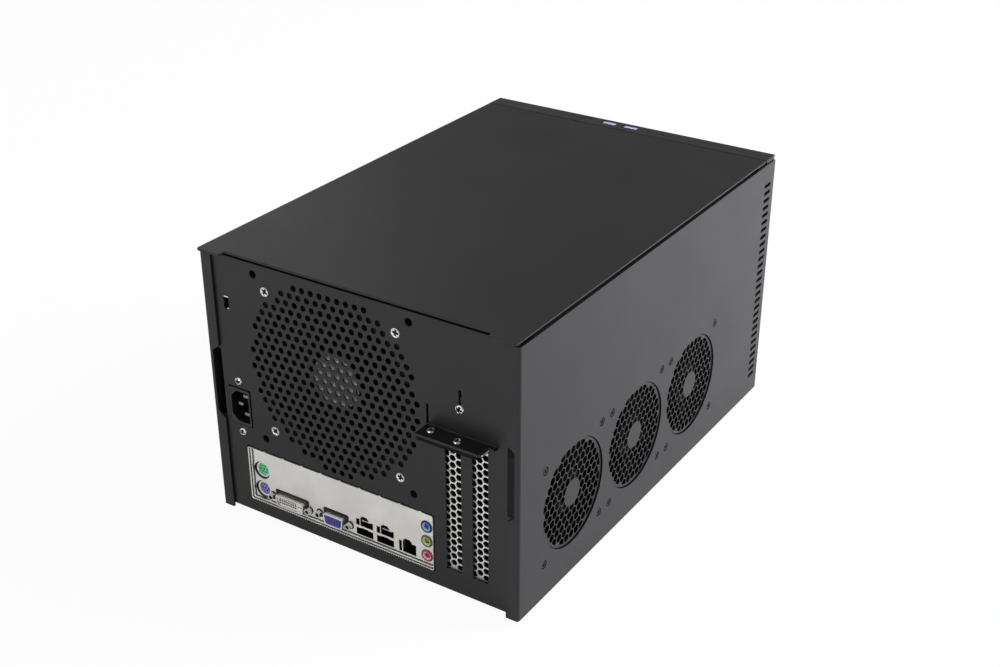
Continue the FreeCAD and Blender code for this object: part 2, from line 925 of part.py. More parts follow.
def memory_modules():
    modules = []
    length = (memory_rear, memory_rear + memory_length)
    for index in range(memory_count):
        u = middle + memory_offset + memory_pitch * index
        clip = block(span(u, memory_clip), length, (board_top, board_top + memory_clip))
        module = block(span(u, memory_sheet), length, (board_top + memory_clip, board_top + memory_height))
        modules.append(joined(clip, [module]))
    return Part.makeCompound(modules)


def card_socket():
    return block(
        span(slot_u[0], card_socket_width),
        (card_socket_rear, card_socket_rear + card_socket_length),
        (board_top, board_top + card_socket_height),
    )


# Front frame: control strip and its hollow bar, side posts, hollow sill, seats for the hinge pins
def front_frame():
    cap_loops = [
        plan_loop(rectangle((cover_inset, case_width - cover_inset), (strip_rear, case_depth)), cover_low)
    ]
    for offset in usb_offsets:
        hole_u = span(middle + offset, usb_shell[0] + 2 * slip_gap)
        hole_w = span(case_depth - usb_from_front, usb_shell[1] + 2 * slip_gap)
        cap_loops.append(plan_loop(rectangle(hole_u, hole_w), cover_low))
    control_w = case_depth - control_from_front
    cap_loops.append(plan_ring(middle + button_offset, control_w, button_radius + slip_gap, cover_low))
    for offset in light_offsets:
        lens = hexagon(middle + offset, control_w, 2 * light_radius, True)
        cap_loops.append(plan_loop(lens, cover_low))
    cap = sheet(cap_loops, upward * cover_sheet)
    bar = block((inner_low, inner_high), (strip_rear, case_depth), (bar_low, cover_low))
    hollow = block(
        (inner_low + bar_wall, inner_high - bar_wall),
        (strip_rear + bar_wall, case_depth - bar_wall),
        (bar_low, cover_low),
    )
    lug = block(
        (inner_low, hinge_u + door_thickness / 2), (door_back, case_depth), (bar_low, bar_low + lug_height)
    )
    sill = block((inner_low, inner_high), (base_front, case_depth), (floor_lift, sill_top))
    under = block(
        (inner_low + sill_end + door_thickness / 2, inner_high - sill_end),
        (base_front + sill_wall, case_depth - sill_wall),
        (floor_lift, sill_top - sill_wall),
    )
    pieces = [lug, sill.cut(under)]
    for u in (inner_low, inner_high - chassis_sheet):
        edge = (u, u + chassis_sheet)
        pieces.append(block(edge, (base_front, base_front + post_depth), (sill_top, cover_low)))
        pieces.append(block(edge, (base_front, strip_rear + bar_wall), (bar_low, cover_low)))
    pieces.append(cap)
    frame = joined(bar.cut(hollow), pieces)
    return frame.cut([hinge_pin(bar_low, pin_hold), hinge_pin(sill_top - pin_hold, pin_hold)])


def hinge_pin(low, length):
    return Part.makeCylinder(pin_radius, length, at(hinge_u, hinge_w, low))


def door_pins():
    length = pin_hold + door_gap + pin_reach
    lower = hinge_pin(sill_top - pin_hold, length)
    upper = hinge_pin(bar_low - door_gap - pin_reach, length)
    return Part.makeCompound([lower, upper])


# Door: folded tray with a round hinge edge and a finger notch in its free edge
def front_door():
    height = door_high - door_low
    free_edge = case_width - door_edge
    slab = block((hinge_u, free_edge), (door_back, case_depth), (door_low, door_high))
    edge = Part.makeCylinder(door_thickness / 2, height, at(hinge_u, hinge_w, door_low))
    hollow = block(
        (hinge_u + door_thickness / 2 + door_border, free_edge - door_free_border),
        (door_back, case_depth - door_skin),
        (door_low + door_border, door_high - door_border),
    )
    pull = block(
        (free_edge - pull_depth, free_edge),
        (door_back, case_depth),
        span((door_low + door_high) / 2, pull_height),
    )
    door = joined(slab, [edge]).cut([hollow, pull])
    bores = []
    for low in (door_low, door_high - pin_reach - pin_gap):
        bores.append(
            Part.makeCylinder(pin_radius + pin_gap, pin_reach + pin_gap, at(hinge_u, hinge_w, low))
        )
    return door.cut(bores)


def door_magnet():
    u = case_width - magnet_from_side
    back = door_back - slip_gap
    return block((u, u + magnet_size[0]), (back - magnet_size[1], back), (bar_low - magnet_size[2], bar_low))


# Controls in the strip: board, ports, lights and the power button
def front_io_board():
    board = block(
        (middle + control_board_span[0], middle + control_board_span[1]),
        (strip_rear + bar_wall, case_depth - bar_wall - slip_gap),
        (control_board_top - control_board_sheet, control_board_top),
    )
    switch = block(
        span(middle + button_offset, switch_size),
        span(case_depth - control_from_front, switch_size),
        (control_board_top, control_board_top + switch_height),
    )
    return joined(board, [switch])


def top_usb_shells():
    shells = []
    for offset in usb_offsets:
        u = middle + offset
        w = case_depth - usb_from_front
        body = block(
            span(u, usb_shell[0]), span(w, usb_shell[1]), (control_board_top, cover_height - usb_sink)
        )
        mouth = block(
            span(u, usb_shell[0] - 2 * usb_wall),
            span(w, usb_shell[1] - 2 * usb_wall),
            (control_board_top + usb_floor, cover_height - usb_sink),
        )
        shells.append(body.cut(mouth))
    return Part.makeCompound(shells)


def top_usb_tongues():
    tongues = []
    low = control_board_top + usb_floor
    for offset in usb_offsets:
        w = case_depth - usb_from_front + tongue_shift
        tongues.append(
            block(span(middle + offset, tongue_size[0]), span(w, tongue_size[1]), (low, low + tongue_size[2]))
        )
    return Part.makeCompound(tongues)


def status_lights():
    lights = []
    for offset in light_offsets:
        lens = hexagon(middle + offset, case_depth - control_from_front, 2 * light_radius, True)
        height = cover_height - control_board_top
        lights.append(sheet([plan_loop(lens, control_board_top)], upward * height))
    return Part.makeCompound(lights)


def power_button():
    u = middle + button_offset
    w = case_depth - control_from_front
    collar_low = cover_low - slip_gap - button_collar_sheet
    stem_low = control_board_top + switch_height + button_travel + slip_gap
    stem = block(span(u, stem_width), span(w, stem_width), (stem_low, collar_low))
    head_low = collar_low + button_collar_sheet
    collar_size = 2 * (button_radius + button_collar)
    collar = block(span(u, collar_size), span(w, collar_size), (collar_low, head_low))
    head = Part.makeCylinder(button_radius, cover_height - head_low, at(u, w, head_low))
    return joined(stem, [collar, head])


# Drive cage: floor, three walls with ledges for the trays, top flanges that carry the cover
def drive_cage():
    length = (cage_rear, cage_front)
    floor = block((cage_low, cage_high), length, (cage_floor, bay_floor))
    window = block(
        (cage_low, cage_high),
        (cage_rear + cage_window_inset, cage_front - cage_window_inset),
        (base_top + cage_window_inset, cage_floor - cage_window_inset),
    )
    pieces = []
    for u in (cage_low, cage_high - chassis_sheet):
        wall = block((u, u + chassis_sheet), length, (base_top, cover_low))
        pieces.append(wall.cut(window))
    for column in range(1, bay_columns):
        u = bay_u(column) - chassis_sheet
        pieces.append(block((u, u + chassis_sheet), length, (bay_floor, bay_top)))
    for low in (cage_low, cage_high - cage_flange):
        pieces.append(block((low, low + cage_flange), length, (cover_low - chassis_sheet, cover_low)))
    for column in range(bay_columns):
        for row in range(1, bay_rows):
            v = (bay_v(row) - chassis_sheet, bay_v(row))
            left = bay_u(column)
            right = left + bay_width
            pieces.append(block((left, left + ledge_strip), length, v))
            pieces.append(block((right - ledge_strip, right), length, v))
    return joined(floor, pieces)


def bay_u(column):
    return cage_low + chassis_sheet + (bay_width + chassis_sheet) * column


def bay_v(row):
    return bay_floor + bay_pitch * row


def drive_backplane():
    return block((cage_low, cage_high), (cage_rear - backplane_sheet, cage_rear), (cage_floor, bay_top))


def bay_connectors():
    connectors = []
    for column in range(bay_columns):
        for row in range(bay_rows):
            low = bay_v(row) + connector_rise
            connectors.append(
                block(
                    span(bay_u(column) + bay_width / 2, connector_size[0]),
                    (cage_rear, cage_rear + connector_size[1]),
                    (low, low + connector_size[2]),
                )
            )
    return Part.makeCompound(connectors)


# Tray: floor with upturned sides behind a moulded front
def drive_tray(column, row):
    low = bay_v(row)
    left = bay_u(column) + tray_gap
    right = bay_u(column) + bay_width - tray_gap
    front = cage_front + bezel_gap
    length = (cage_rear + tray_rear, front)
    floor = block((left, right), length, (low, low + tray_sheet))
    bezel = block(
        (bay_u(column) + bezel_gap, bay_u(column) + bay_width - bezel_gap),
        (front, front + bezel_depth),
        (low, low + bay_pitch - bezel_trim),
    )
    pieces = [bezel]
    for u in (left, right - tray_sheet):
        pieces.append(block((u, u + tray_sheet), length, (low, low + tray_edge)))
    return joined(floor, pieces)


def tray_levers():
    levers = []
    front = cage_front + bezel_gap + bezel_depth
    for column in range(bay_columns):
        for row in range(bay_rows):
            centre_v = bay_v(row) + (bay_pitch - bezel_trim) / 2
            levers.append(
                block(
                    span(bay_u(column) + bay_width / 2, lever_length),
                    (front, front + lever_depth),
                    span(centre_v, lever_height),
                )
            )
    return Part.makeCompound(levers)


def power_supply():
    high = case_width - supply_from_side
    low = high - supply_width
    front = cage_front
    rear = board_rear + board_size + supply_board_gap
    body = block((low, high), (rear, front), (base_top, base_top + supply_height))
    mouth = block(
        (low + supply_mouth_depth, low + supply_mouth_depth + supply_mouth),
        (rear, rear + supply_mouth_depth),
        span(base_top + supply_height / 2, supply_mouth),
    )
    return body.cut(mouth)


nodes = {
    "fan_side_panel": side_panel(small_fan_w),
    "plain_side_panel": side_panel([]).mirror(FreeCAD.Vector(0, 0, 0), inward),
    "rear_panel": rear_panel(),
    "base_tray": base_tray(),
    "rubber_feet": rubber_feet(),
    "top_cover": top_cover(),
    "slot_covers": slot_covers(),
    "slot_retainer": slot_retainer(),
    "io_shield": io_shield(),
    "ps2_housing": ps2_housing(),
    "keyboard_port": ps2_insert(ps2_heights[0]),
    "mouse_port": ps2_insert(ps2_heights[1]),
    "dvi_shell": connector_shell(dvi_place, dvi_rise, dvi_shell_size, dvi_flange),
    "dvi_insert": connector_insert(dvi_place, dvi_rise, dvi_shell_size),
    "vga_shell": connector_shell(vga_place, vga_rise, vga_shell_size, vga_flange),
    "vga_insert": connector_insert(vga_place, vga_rise, vga_shell_size),
    "port_stack_1": port_stack(stack_places[0]),
    "port_stack_2": port_stack(stack_places[1]),
    "network_port": network_port(),
    "audio_block": audio_block(),
    "microphone_jack": audio_jack(0),
    "line_out_jack": audio_jack(1),
    "line_in_jack": audio_jack(2),
    "power_inlet": power_inlet(),
    "inlet_pins": inlet_pins(),
    "main_board": main_board(),
    "board_standoffs": board_standoffs(),
    "processor_cooler": processor_cooler(),
    "memory_modules": memory_modules(),
    "card_socket": card_socket(),
    "front_frame": front_frame(),
    "front_door": front_door(),
    "door_pins": door_pins(),
    "door_magnet": door_magnet(),
    "front_io_board": front_io_board(),
    "top_usb_shells": top_usb_shells(),
    "top_usb_tongues": top_usb_tongues(),
    "status_lights": status_lights(),
    "power_button": power_button(),
    "drive_cage": drive_cage(),
    "drive_backplane": drive_backplane(),
    "bay_connectors": bay_connectors(),
    "tray_levers": tray_levers(),
    "power_supply": power_supply(),
    "rear_fan_frame": placed(
        fan_frame(large_fan, large_fan_depth, large_hub),
        at(large_fan_u, rear_inner, large_fan_v),
        rearward * -1,
    ),
    "rear_fan_rotor": placed(
        fan_rotor(large_fan, large_fan_depth, large_hub),
        at(large_fan_u, rear_inner, large_fan_v),
        rearward * -1,
    ),
}
for index, place in enumerate(small_fan_w):
    seat = at(panel_sheet, place, small_fan_v)
    frame = fan_frame(small_fan, small_fan_depth, small_hub)
    rotor = fan_rotor(small_fan, small_fan_depth, small_hub)
    nodes["side_fan_frame_%d" % (index + 1)] = placed(frame, seat, inward)
    nodes["side_fan_rotor_%d" % (index + 1)] = placed(rotor, seat, inward)
for column in range(bay_columns):
    for row in range(bay_rows):
        nodes["drive_tray_%d" % (column * bay_rows + row + 1)] = drive_tray(column, row)

os.makedirs("parts", exist_ok=True)
for name, shape in nodes.items():
    shape.exportStep("parts/%s.step" % name)
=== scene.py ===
import bpy
import bmesh
import numpy as np
from mathutils import Matrix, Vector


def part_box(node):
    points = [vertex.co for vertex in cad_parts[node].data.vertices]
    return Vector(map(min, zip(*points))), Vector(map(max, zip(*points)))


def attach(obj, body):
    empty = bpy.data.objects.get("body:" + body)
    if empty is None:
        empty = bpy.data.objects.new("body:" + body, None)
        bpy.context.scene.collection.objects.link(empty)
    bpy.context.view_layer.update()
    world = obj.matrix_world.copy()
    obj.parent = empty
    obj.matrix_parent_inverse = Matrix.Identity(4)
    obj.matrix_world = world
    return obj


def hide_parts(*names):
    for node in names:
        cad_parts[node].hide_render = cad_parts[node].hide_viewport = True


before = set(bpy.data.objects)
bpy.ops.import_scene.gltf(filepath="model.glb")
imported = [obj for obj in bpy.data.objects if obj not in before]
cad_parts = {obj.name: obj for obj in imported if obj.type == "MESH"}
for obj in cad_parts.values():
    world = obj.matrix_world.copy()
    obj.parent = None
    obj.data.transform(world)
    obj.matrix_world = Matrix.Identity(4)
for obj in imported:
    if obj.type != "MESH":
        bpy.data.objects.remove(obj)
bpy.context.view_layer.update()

print("frame loaded,", len(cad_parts), "nodes")

# drawing places in millimetres: u across from the fan side, w forward from the rear face, v up
drawing = {"width": 250.0, "rear": 175.75, "lift": 4.0}


# the three drawing views: which of a shape's columns across, up and depth are u, w and v
rearView, sideView, topView = [0, 2, 1], [2, 0, 1], [0, 1, 2]


# drawing places to shared frame: x = u - half width, y = rear - w, z = v + foot height, in metres
def toShared(places):
    return (places * (1, -1, 1) + (-drawing["width"] / 2, drawing["rear"], drawing["lift"])) / 1000


# the two ends of a length about its middle
def span(middle, length):
    return middle - length / 2, middle + length / 2


# the corners of a square about its centre, half a side from it both ways
def squareCorners(centre, half):
    return [(centre[0] + a * half, centre[1] + b * half) for a in (-1, 1) for b in (-1, 1)]


# quads between the neighbours of a grid of points, closed round its columns where wrap is set
def gridFaces(rows, columns, wrap):
    index = np.arange(rows * columns).reshape(rows, columns)
    if wrap:
        index = np.column_stack([index, index[:, :1]])
    quads = np.stack([index[:-1, :-1], index[1:, :-1], index[1:, 1:], index[:-1, 1:]], axis=-1)
    return quads.reshape(-1, 4).tolist()


# circle: centre plus radius times cosine and sine of equal steps of angle
def ring(centre, radius, sides, start=0.0):
    angle = start + np.arange(sides) * 2 * np.pi / sides
    return np.column_stack([centre[0] + radius * np.cos(angle), centre[1] + radius * np.sin(angle)])


def rectangle(across, up):
    return np.array([(across[0], up[0]), (across[1], up[0]), (across[1], up[1]), (across[0], up[1])])


# corners rounded by quadratic curves that start and end one radius from each corner
def roundCorners(corners, radius, steps=4):
    corners = np.asarray(corners, float)
    back = np.roll(corners, 1, axis=0) - corners
    ahead = np.roll(corners, -1, axis=0) - corners
    reach = np.maximum(np.broadcast_to(np.asarray(radius, float), len(corners)), 0.001)[:, None]
    start = corners + back / np.linalg.norm(back, axis=1, keepdims=True) * reach
    end = corners + ahead / np.linalg.norm(ahead, axis=1, keepdims=True) * reach
    t = np.linspace(0, 1, steps + 1)[None, :, None]
    curve = (1 - t) ** 2 * start[:, None] + 2 * t * (1 - t) * corners[:, None] + t ** 2 * end[:, None]
    return curve.reshape(-1, 2)


def roundedBox(across, up, radius, steps=4):
    return roundCorners(rectangle(across, up), radius, steps)


# centres of a honeycomb in upright columns: neighbours in a column are one pitch apart
def honeycomb(pitch, reach):
    count = int(reach / pitch) + 3
    column, row = np.meshgrid(np.arange(-count, count + 1), np.arange(-count, count + 1))
    across = column * pitch * np.sqrt(3) / 2
    up = (row + 0.5 * (column % 2)) * pitch
    return np.column_stack([across.ravel(), up.ravel()])


# area by the shoelace sum
def loopArea(loop):
    ahead = np.roll(loop, -1, axis=0)
    return abs(np.sum(loop[:, 0] * ahead[:, 1] - ahead[:, 0] * loop[:, 1])) / 2


# points closer than a hair to the one before are dropped
def distinct(loop, hair=0.02):
    gap = np.linalg.norm(loop - np.roll(loop, 1, axis=0), axis=1)
    return loop[gap > hair]


# plate: an outline carried from one depth to another, closed by a face at each end
def plate(outline, low, high):
    outline = distinct(np.asarray(outline, float))
    count = len(outline)
    near = np.column_stack([outline, np.full(count, float(low))])
    far = np.column_stack([outline, np.full(count, float(high))])
    index = np.arange(count)
    ahead = np.roll(index, -1)
    sides = np.column_stack([index, ahead, ahead + count, index + count]).tolist()
    return np.vstack([near, far]), sides + [index.tolist(), (index + count).tolist()]


def block(across, up, depth):
    return plate(rectangle(across, up), depth[0], depth[1])


# turned shape: a profile of (radius, depth) pairs carried round a centre
def turned(profile, centre, sides):
    profile = np.asarray(profile, float)
    angle = np.arange(sides) * 2 * np.pi / sides
    across = centre[0] + profile[:, :1] * np.cos(angle)
    up = centre[1] + profile[:, :1] * np.sin(angle)
    depth = np.repeat(profile[:, 1:], sides, axis=1)
    points = np.stack([across, up, depth], axis=-1).reshape(-1, 3)
    return points, gridFaces(len(profile), sides, True)


# sheet with openings: a filled flat curve carried from one depth to another
def cutSheet(outline, openings, low, high):
    flat = bpy.data.curves.new("sheetCut", "CURVE")
    flat.dimensions = "2D"
    flat.fill_mode = "BOTH"
    flat.extrude = (high - low) / 2
    for loop in [outline, *openings]:
        loop = distinct(np.asarray(loop, float))
        spline = flat.splines.new("POLY")
        spline.points.add(len(loop) - 1)
        corners = np.column_stack([loop, np.zeros(len(loop)), np.ones(len(loop))])
        spline.points.foreach_set("co", corners.ravel())
        spline.use_cyclic_u = True
    carrier = bpy.data.objects.new("sheetCut", flat)
    mesh = bpy.data.meshes.new_from_object(carrier)
    points = np.array([vertex.co for vertex in mesh.vertices]) + (0, 0, (low + high) / 2)
    faces = [list(polygon.vertices) for polygon in mesh.polygons]
    bpy.data.objects.remove(carrier)
    bpy.data.curves.remove(flat)
    bpy.data.meshes.remove(mesh)
    return points, faces


# several shapes become one object in its place: doubles merged, faces turned outwards, a finish and a ride
def addPiece(name, view, shapes, finish, body, stands=(), edge=0.0, sharp=32.0):
    whole = bmesh.new()
    for points, faces in shapes:
        part = bpy.data.meshes.new(name)
        part.from_pydata(toShared(np.asarray(points, float)[:, view]).tolist(), [], faces)
        shell = bmesh.new()
        shell.from_mesh(part)
        bmesh.ops.remove_doubles(shell, verts=shell.verts, dist=2e-6)
        bmesh.ops.recalc_face_normals(shell, faces=shell.faces)
        shell.to_mesh(part)
        shell.free()
        whole.from_mesh(part)
        bpy.data.meshes.remove(part)
    mesh = bpy.data.meshes.new(name)
    whole.to_mesh(mesh)
    whole.free()
    mesh.materials.append(finish)
    mesh.polygons.foreach_set("use_smooth", np.ones(len(mesh.polygons), bool))
    piece = bpy.data.objects.new(name, mesh)
    bpy.context.scene.collection.objects.link(piece)
    if edge:
        bevel = piece.modifiers.new("softEdge", "BEVEL")
        bevel.width = edge / 1000
        bevel.segments = 2
        bevel.limit_method = "ANGLE"
        bevel.angle_limit = np.radians(40)
        bevel.harden_normals = True
    else:
        mesh.set_sharp_from_angle(angle=np.radians(sharp))
    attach(piece, body)
    if stands:
        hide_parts(*stands)
    return piece


# sRGB hex to linear: below 0.04045 a straight line, above it a power of 2.4
def linear(shade):
    value = np.array([int(shade[start:start + 2], 16) for start in (1, 3, 5)]) / 255
    value = np.where(value <= 0.04045, value / 12.92, ((value + 0.055) / 1.055) ** 2.4)
    return (*value.tolist(), 1.0)


# one node with its settings, its set sockets and its links
def addNode(tree, kind, inputs=None, links=None, **settings):
    node = tree.nodes.new(kind)
    for key, value in settings.items():
        setattr(node, key, value)
    for socket, value in (inputs or {}).items():
        node.inputs[socket].default_value = value
    for socket, source in (links or {}).items():
        tree.links.new(source, node.inputs[socket])
    return node


# a finish: two close shades in patches, gloss that wanders with them, and a fine relief; patch, grain and
# height are millimetres on the surface, and stretch draws the grain out along an axis
def makeFinish(name, shades, patch, rough, grain=0.5, height=0.02, relief=0.4, metallic=0.0, ior=1.5,
               stretch=(1, 1, 1)):
    # the part of the noise that runs from the first shade to the second
    low, high = 0.3, 0.7
    material = bpy.data.materials.new(name)
    material.use_nodes = True
    tree = material.node_tree
    tree.nodes.clear()
    place = addNode(tree, "ShaderNodeTexCoord").outputs["Object"]
    drawn = addNode(tree, "ShaderNodeMapping", {"Scale": stretch}, {"Vector": place})
    patches = addNode(tree, "ShaderNodeTexNoise", {"Scale": 1000 / patch, "Detail": 4.0, "Roughness": 0.6},
                      {"Vector": place}).outputs["Fac"]
    colours = addNode(tree, "ShaderNodeValToRGB", links={"Fac": patches})
    for stop, position, shade in zip(colours.color_ramp.elements, (low, high), shades):
        stop.position = position
        stop.color = linear(shade)
    gloss = addNode(tree, "ShaderNodeMapRange",
                    {"From Min": low, "From Max": high, "To Min": rough[0], "To Max": rough[1]},
                    {"Value": patches})
    grains = addNode(tree, "ShaderNodeTexNoise", {"Scale": 1000 / grain, "Detail": 2.0, "Roughness": 0.5},
                     {"Vector": drawn.outputs["Vector"]})
    bump = addNode(tree, "ShaderNodeBump", {"Strength": relief, "Distance": height / 1000},
                   {"Height": grains.outputs["Fac"]})
    shader = addNode(tree, "ShaderNodeBsdfPrincipled", {"Metallic": metallic, "IOR": ior},
                     {"Base Color": colours.outputs["Color"], "Roughness": gloss.outputs["Result"],
                      "Normal": bump.outputs["Normal"]})
    addNode(tree, "ShaderNodeOutputMaterial", links={"Surface": shader.outputs["BSDF"]})
    return material


# powder-coated steel, satin black: dark, a soft sheen with a faint orange peel
satinPaint = makeFinish("powderCoatedSteel", ("#1a1a1c", "#1f1f21"), 60, (0.33, 0.4), 1.1, 0.05, 0.12,
                        ior=1.38)
# the same coat on the retainer, thinner and more matt
ledgePaint = makeFinish("powderCoatedClamp", ("#131314", "#191919"), 30, (0.4, 0.5), 1.0, 0.05, 0.15,
                        ior=1.42)
# the coat paler in thin lines along the retainer's edges: painted highlights
paintedGlintCoat = makeFinish("paintedGlintCoatEdge", ("#38383a", "#4c4c4e"), 4, (0.35, 0.5), 0.6)
# painted shade as near black steel: the border round the port plate, its grooves and slits, and the finger
# notch
shadeSteel = makeFinish("paintedShadeSteel", ("#0a0a0a", "#141413"), 6, (0.6, 0.7), 0.8, ior=1.25)
# galvanised steel of the cage and the supply: grey, mottled by its zinc crystals
zincSteel = makeFinish("galvanisedSteel", ("#9a9c9d", "#b3b5b5"), 9, (0.34, 0.5), 2.0, 0.03, metallic=1.0)
# tin-plated stamped steel of the port plate: bright, slightly warm, faint rolling marks
tinPlate = makeFinish("tinPlatedSteel", ("#ecebe5", "#f6f4f0"), 25, (0.3, 0.4), 0.8, metallic=1.0,
                      stretch=(0.15, 1, 1))
# nickel-plated slot covers: whiter and brighter than the port plate
slotNickel = makeFinish("nickelPlatedSheet", ("#dcdbd8", "#e6e5e2"), 20, (0.34, 0.42), 0.9, metallic=0.5)
# nickel-plated screws: shiny, with turning marks
screwNickel = makeFinish("nickelPlatedScrew", ("#c9c7c2", "#dcdad6"), 3, (0.16, 0.26), metallic=1.0)
# black zinc screws, flush in the side panel
screwBlack = makeFinish("blackZincScrew", ("#2a2a2b", "#3a393a"), 2, (0.3, 0.42), metallic=0.6)
# glass-filled polyester of the fans: dull black, fine moulded grain
fanPlastic = makeFinish("mouldedPolyesterBlack", ("#050506", "#090909"), 30, (0.6, 0.7), 0.6, 0.04, ior=1.2)
# flame-proof polyamide of the mains inlet: black with a slight gloss
inletPlastic = makeFinish("mouldedPolyamideBlack", ("#0b0b0c", "#111112"), 15, (0.38, 0.5), 0.6, 0.03)
# tinned brass blades of the inlet: grey, scuffed by plugs
pinBrass = makeFinish("tinnedBrassBlades", ("#8a898c", "#9c9b9e"), 3, (0.35, 0.5), metallic=1.0)
# matt foil on the rear fan's hub: silver grey
hubFoil = makeFinish("mattSilverFoil", ("#dcdcde", "#e6e6e8"), 12, (0.4, 0.5), 0.7, 0.01, metallic=0.4)
# black nylon of the connector bodies
portNylon = makeFinish("mouldedNylonBlack", ("#0c0c0d", "#131314"), 8, (0.45, 0.6))
# black nylon inside the sockets; the same near black is painted shade in the screw crosses, at the vents'
# step feet, at the notch's upper end, on the retainer lip and in other deep gaps
socketBlackAndShade = makeFinish("socketNylonAndPaintedShade", ("#040404", "#080808"), 8, (0.6, 0.7), ior=1.2)
# glass-fibre board under a dark green solder mask, with paler copper runs below it
boardMask = makeFinish("solderMaskGreen", ("#0d3b22", "#155231"), 4, (0.3, 0.42), 1.5, 0.06)
# extruded aluminium, drawn along the fins
drawnAluminium = makeFinish("extrudedAluminium", ("#b9bcbf", "#cdd0d2"), 15, (0.26, 0.38), 0.6, 0.03,
                            metallic=1.0, stretch=(1, 0.08, 1))
# moulded ABS of the front frame, trays and button: black, spark-eroded grain
frontPlastic = makeFinish("mouldedAbsBlack", ("#19191a", "#202021"), 25, (0.42, 0.52), 0.7, 0.05)
# natural rubber feet: matt, dusty black
footRubber = makeFinish("footRubber", ("#141414", "#1d1c1b"), 6, (0.75, 0.9), 0.8, 0.08)
# clear tinted lens of the status lights
lensTint = makeFinish("tintedLens", ("#0a0c12", "#10131b"), 2, (0.08, 0.15), 0.6, 0.005)


# nylon coloured through, as moulded: a main shade and patches of a deeper one, with a soft gloss
def codedNylon(name, shade, deep):
    return makeFinish(name, (deep, shade), 5, (0.4, 0.5))


mouseGreen = codedNylon("nylonGreen", "#5cc58f", "#49b07c")
keyboardPurple = codedNylon("nylonPurple", "#7f76b4", "#6f66a6")
videoBlue = codedNylon("nylonVideoBlue", "#45459a", "#39398a")
videoCream = codedNylon("nylonCream", "#dedbd3", "#d0ccc3")
tongueBlue = codedNylon("nylonTongueBlue", "#c4c8f4", "#b0b5ea")
# an audio jack's colour: darker on its ring as painted shade, paler on its cone as a painted highlight, full
# in its deep bore
jackShades = {
    "Blue": {"ShadedRing": ("#1f3154", "#18284a"), "Cone": ("#8ea8cc", "#809bc2"), "Bore": ("#2a55b8", "#234aa6")},
    "Lime": {"ShadedRing": ("#56663a", "#4a5a30"), "Cone": ("#b6bf8e", "#a9b37f"), "Bore": ("#7f9a20", "#728c1a")},
    "Pink": {"ShadedRing": ("#84404f", "#743544"), "Cone": ("#dca3ad", "#d0949f"), "Bore": ("#cf1f42", "#bd1838")}}
jackFinishes = {(colour, part): codedNylon("nylon" + colour + part, *shades)
                for colour, parts in jackShades.items() for part, shades in parts.items()}
print("finishes made")


# rear panel: one sheet with every opening, the punched fan field, folds and the lip
rearPanel = {
    "across": (2.0, 248.0), "up": (2.7, 199.5), "depth": (1.8, 3.0), "corner": 0.5,
    "fan": (143.6, 129.6), "pitch": 7.05, "rows": 6.1, "hole": 2.25, "reach": 68.6, "sides": 12, "web": 0.9,
    "topClear": 5.0, "spare": 62.25, "spareHole": 2.5, "sink": 3.0, "sinkDeep": 0.8,
    "ports": ((65.3, 224.0), (12.5, 57.0)), "inlet": ((216.8, 236.4), (72.0, 101.4)),
    "lock": ((229.1, 233.5), (160.2, 169.6)), "ledge": ((16.53, 68.95), (122.5, 125.3)),
    "clampSlit": ((42.9, 45.1), (141.0, 156.0)), "endSlit": ((67.8, 69.6), (125.2, 139.0)),
    "window": ((240.2, 246.8), (76.0, 128.0)),
    "slots": (50.15, 29.83), "slotWide": 12.1, "slotUp": (19.2, 119.5),
    "foldDeep": 15.0, "sideFold": (15.2, 196.3), "topFold": (6.0, 244.0),
    "slotLip": ((21.2, 68.65), (121.3, 122.5)), "lipReach": -9.5,
}


# punched field: rows of holes, every other row half a pitch over, kept inside a circle
def fanField(spec):
    count = int(spec["reach"] / spec["rows"]) + 2
    column, row = np.meshgrid(np.arange(-count, count + 1), np.arange(-count, count + 1))
    across = (column + 0.5 * (row % 2)) * spec["pitch"]
    spots = np.column_stack([across.ravel(), (row * spec["rows"]).ravel()])
    return spots[np.hypot(spots[:, 0], spots[:, 1]) <= spec["reach"]] + spec["fan"]


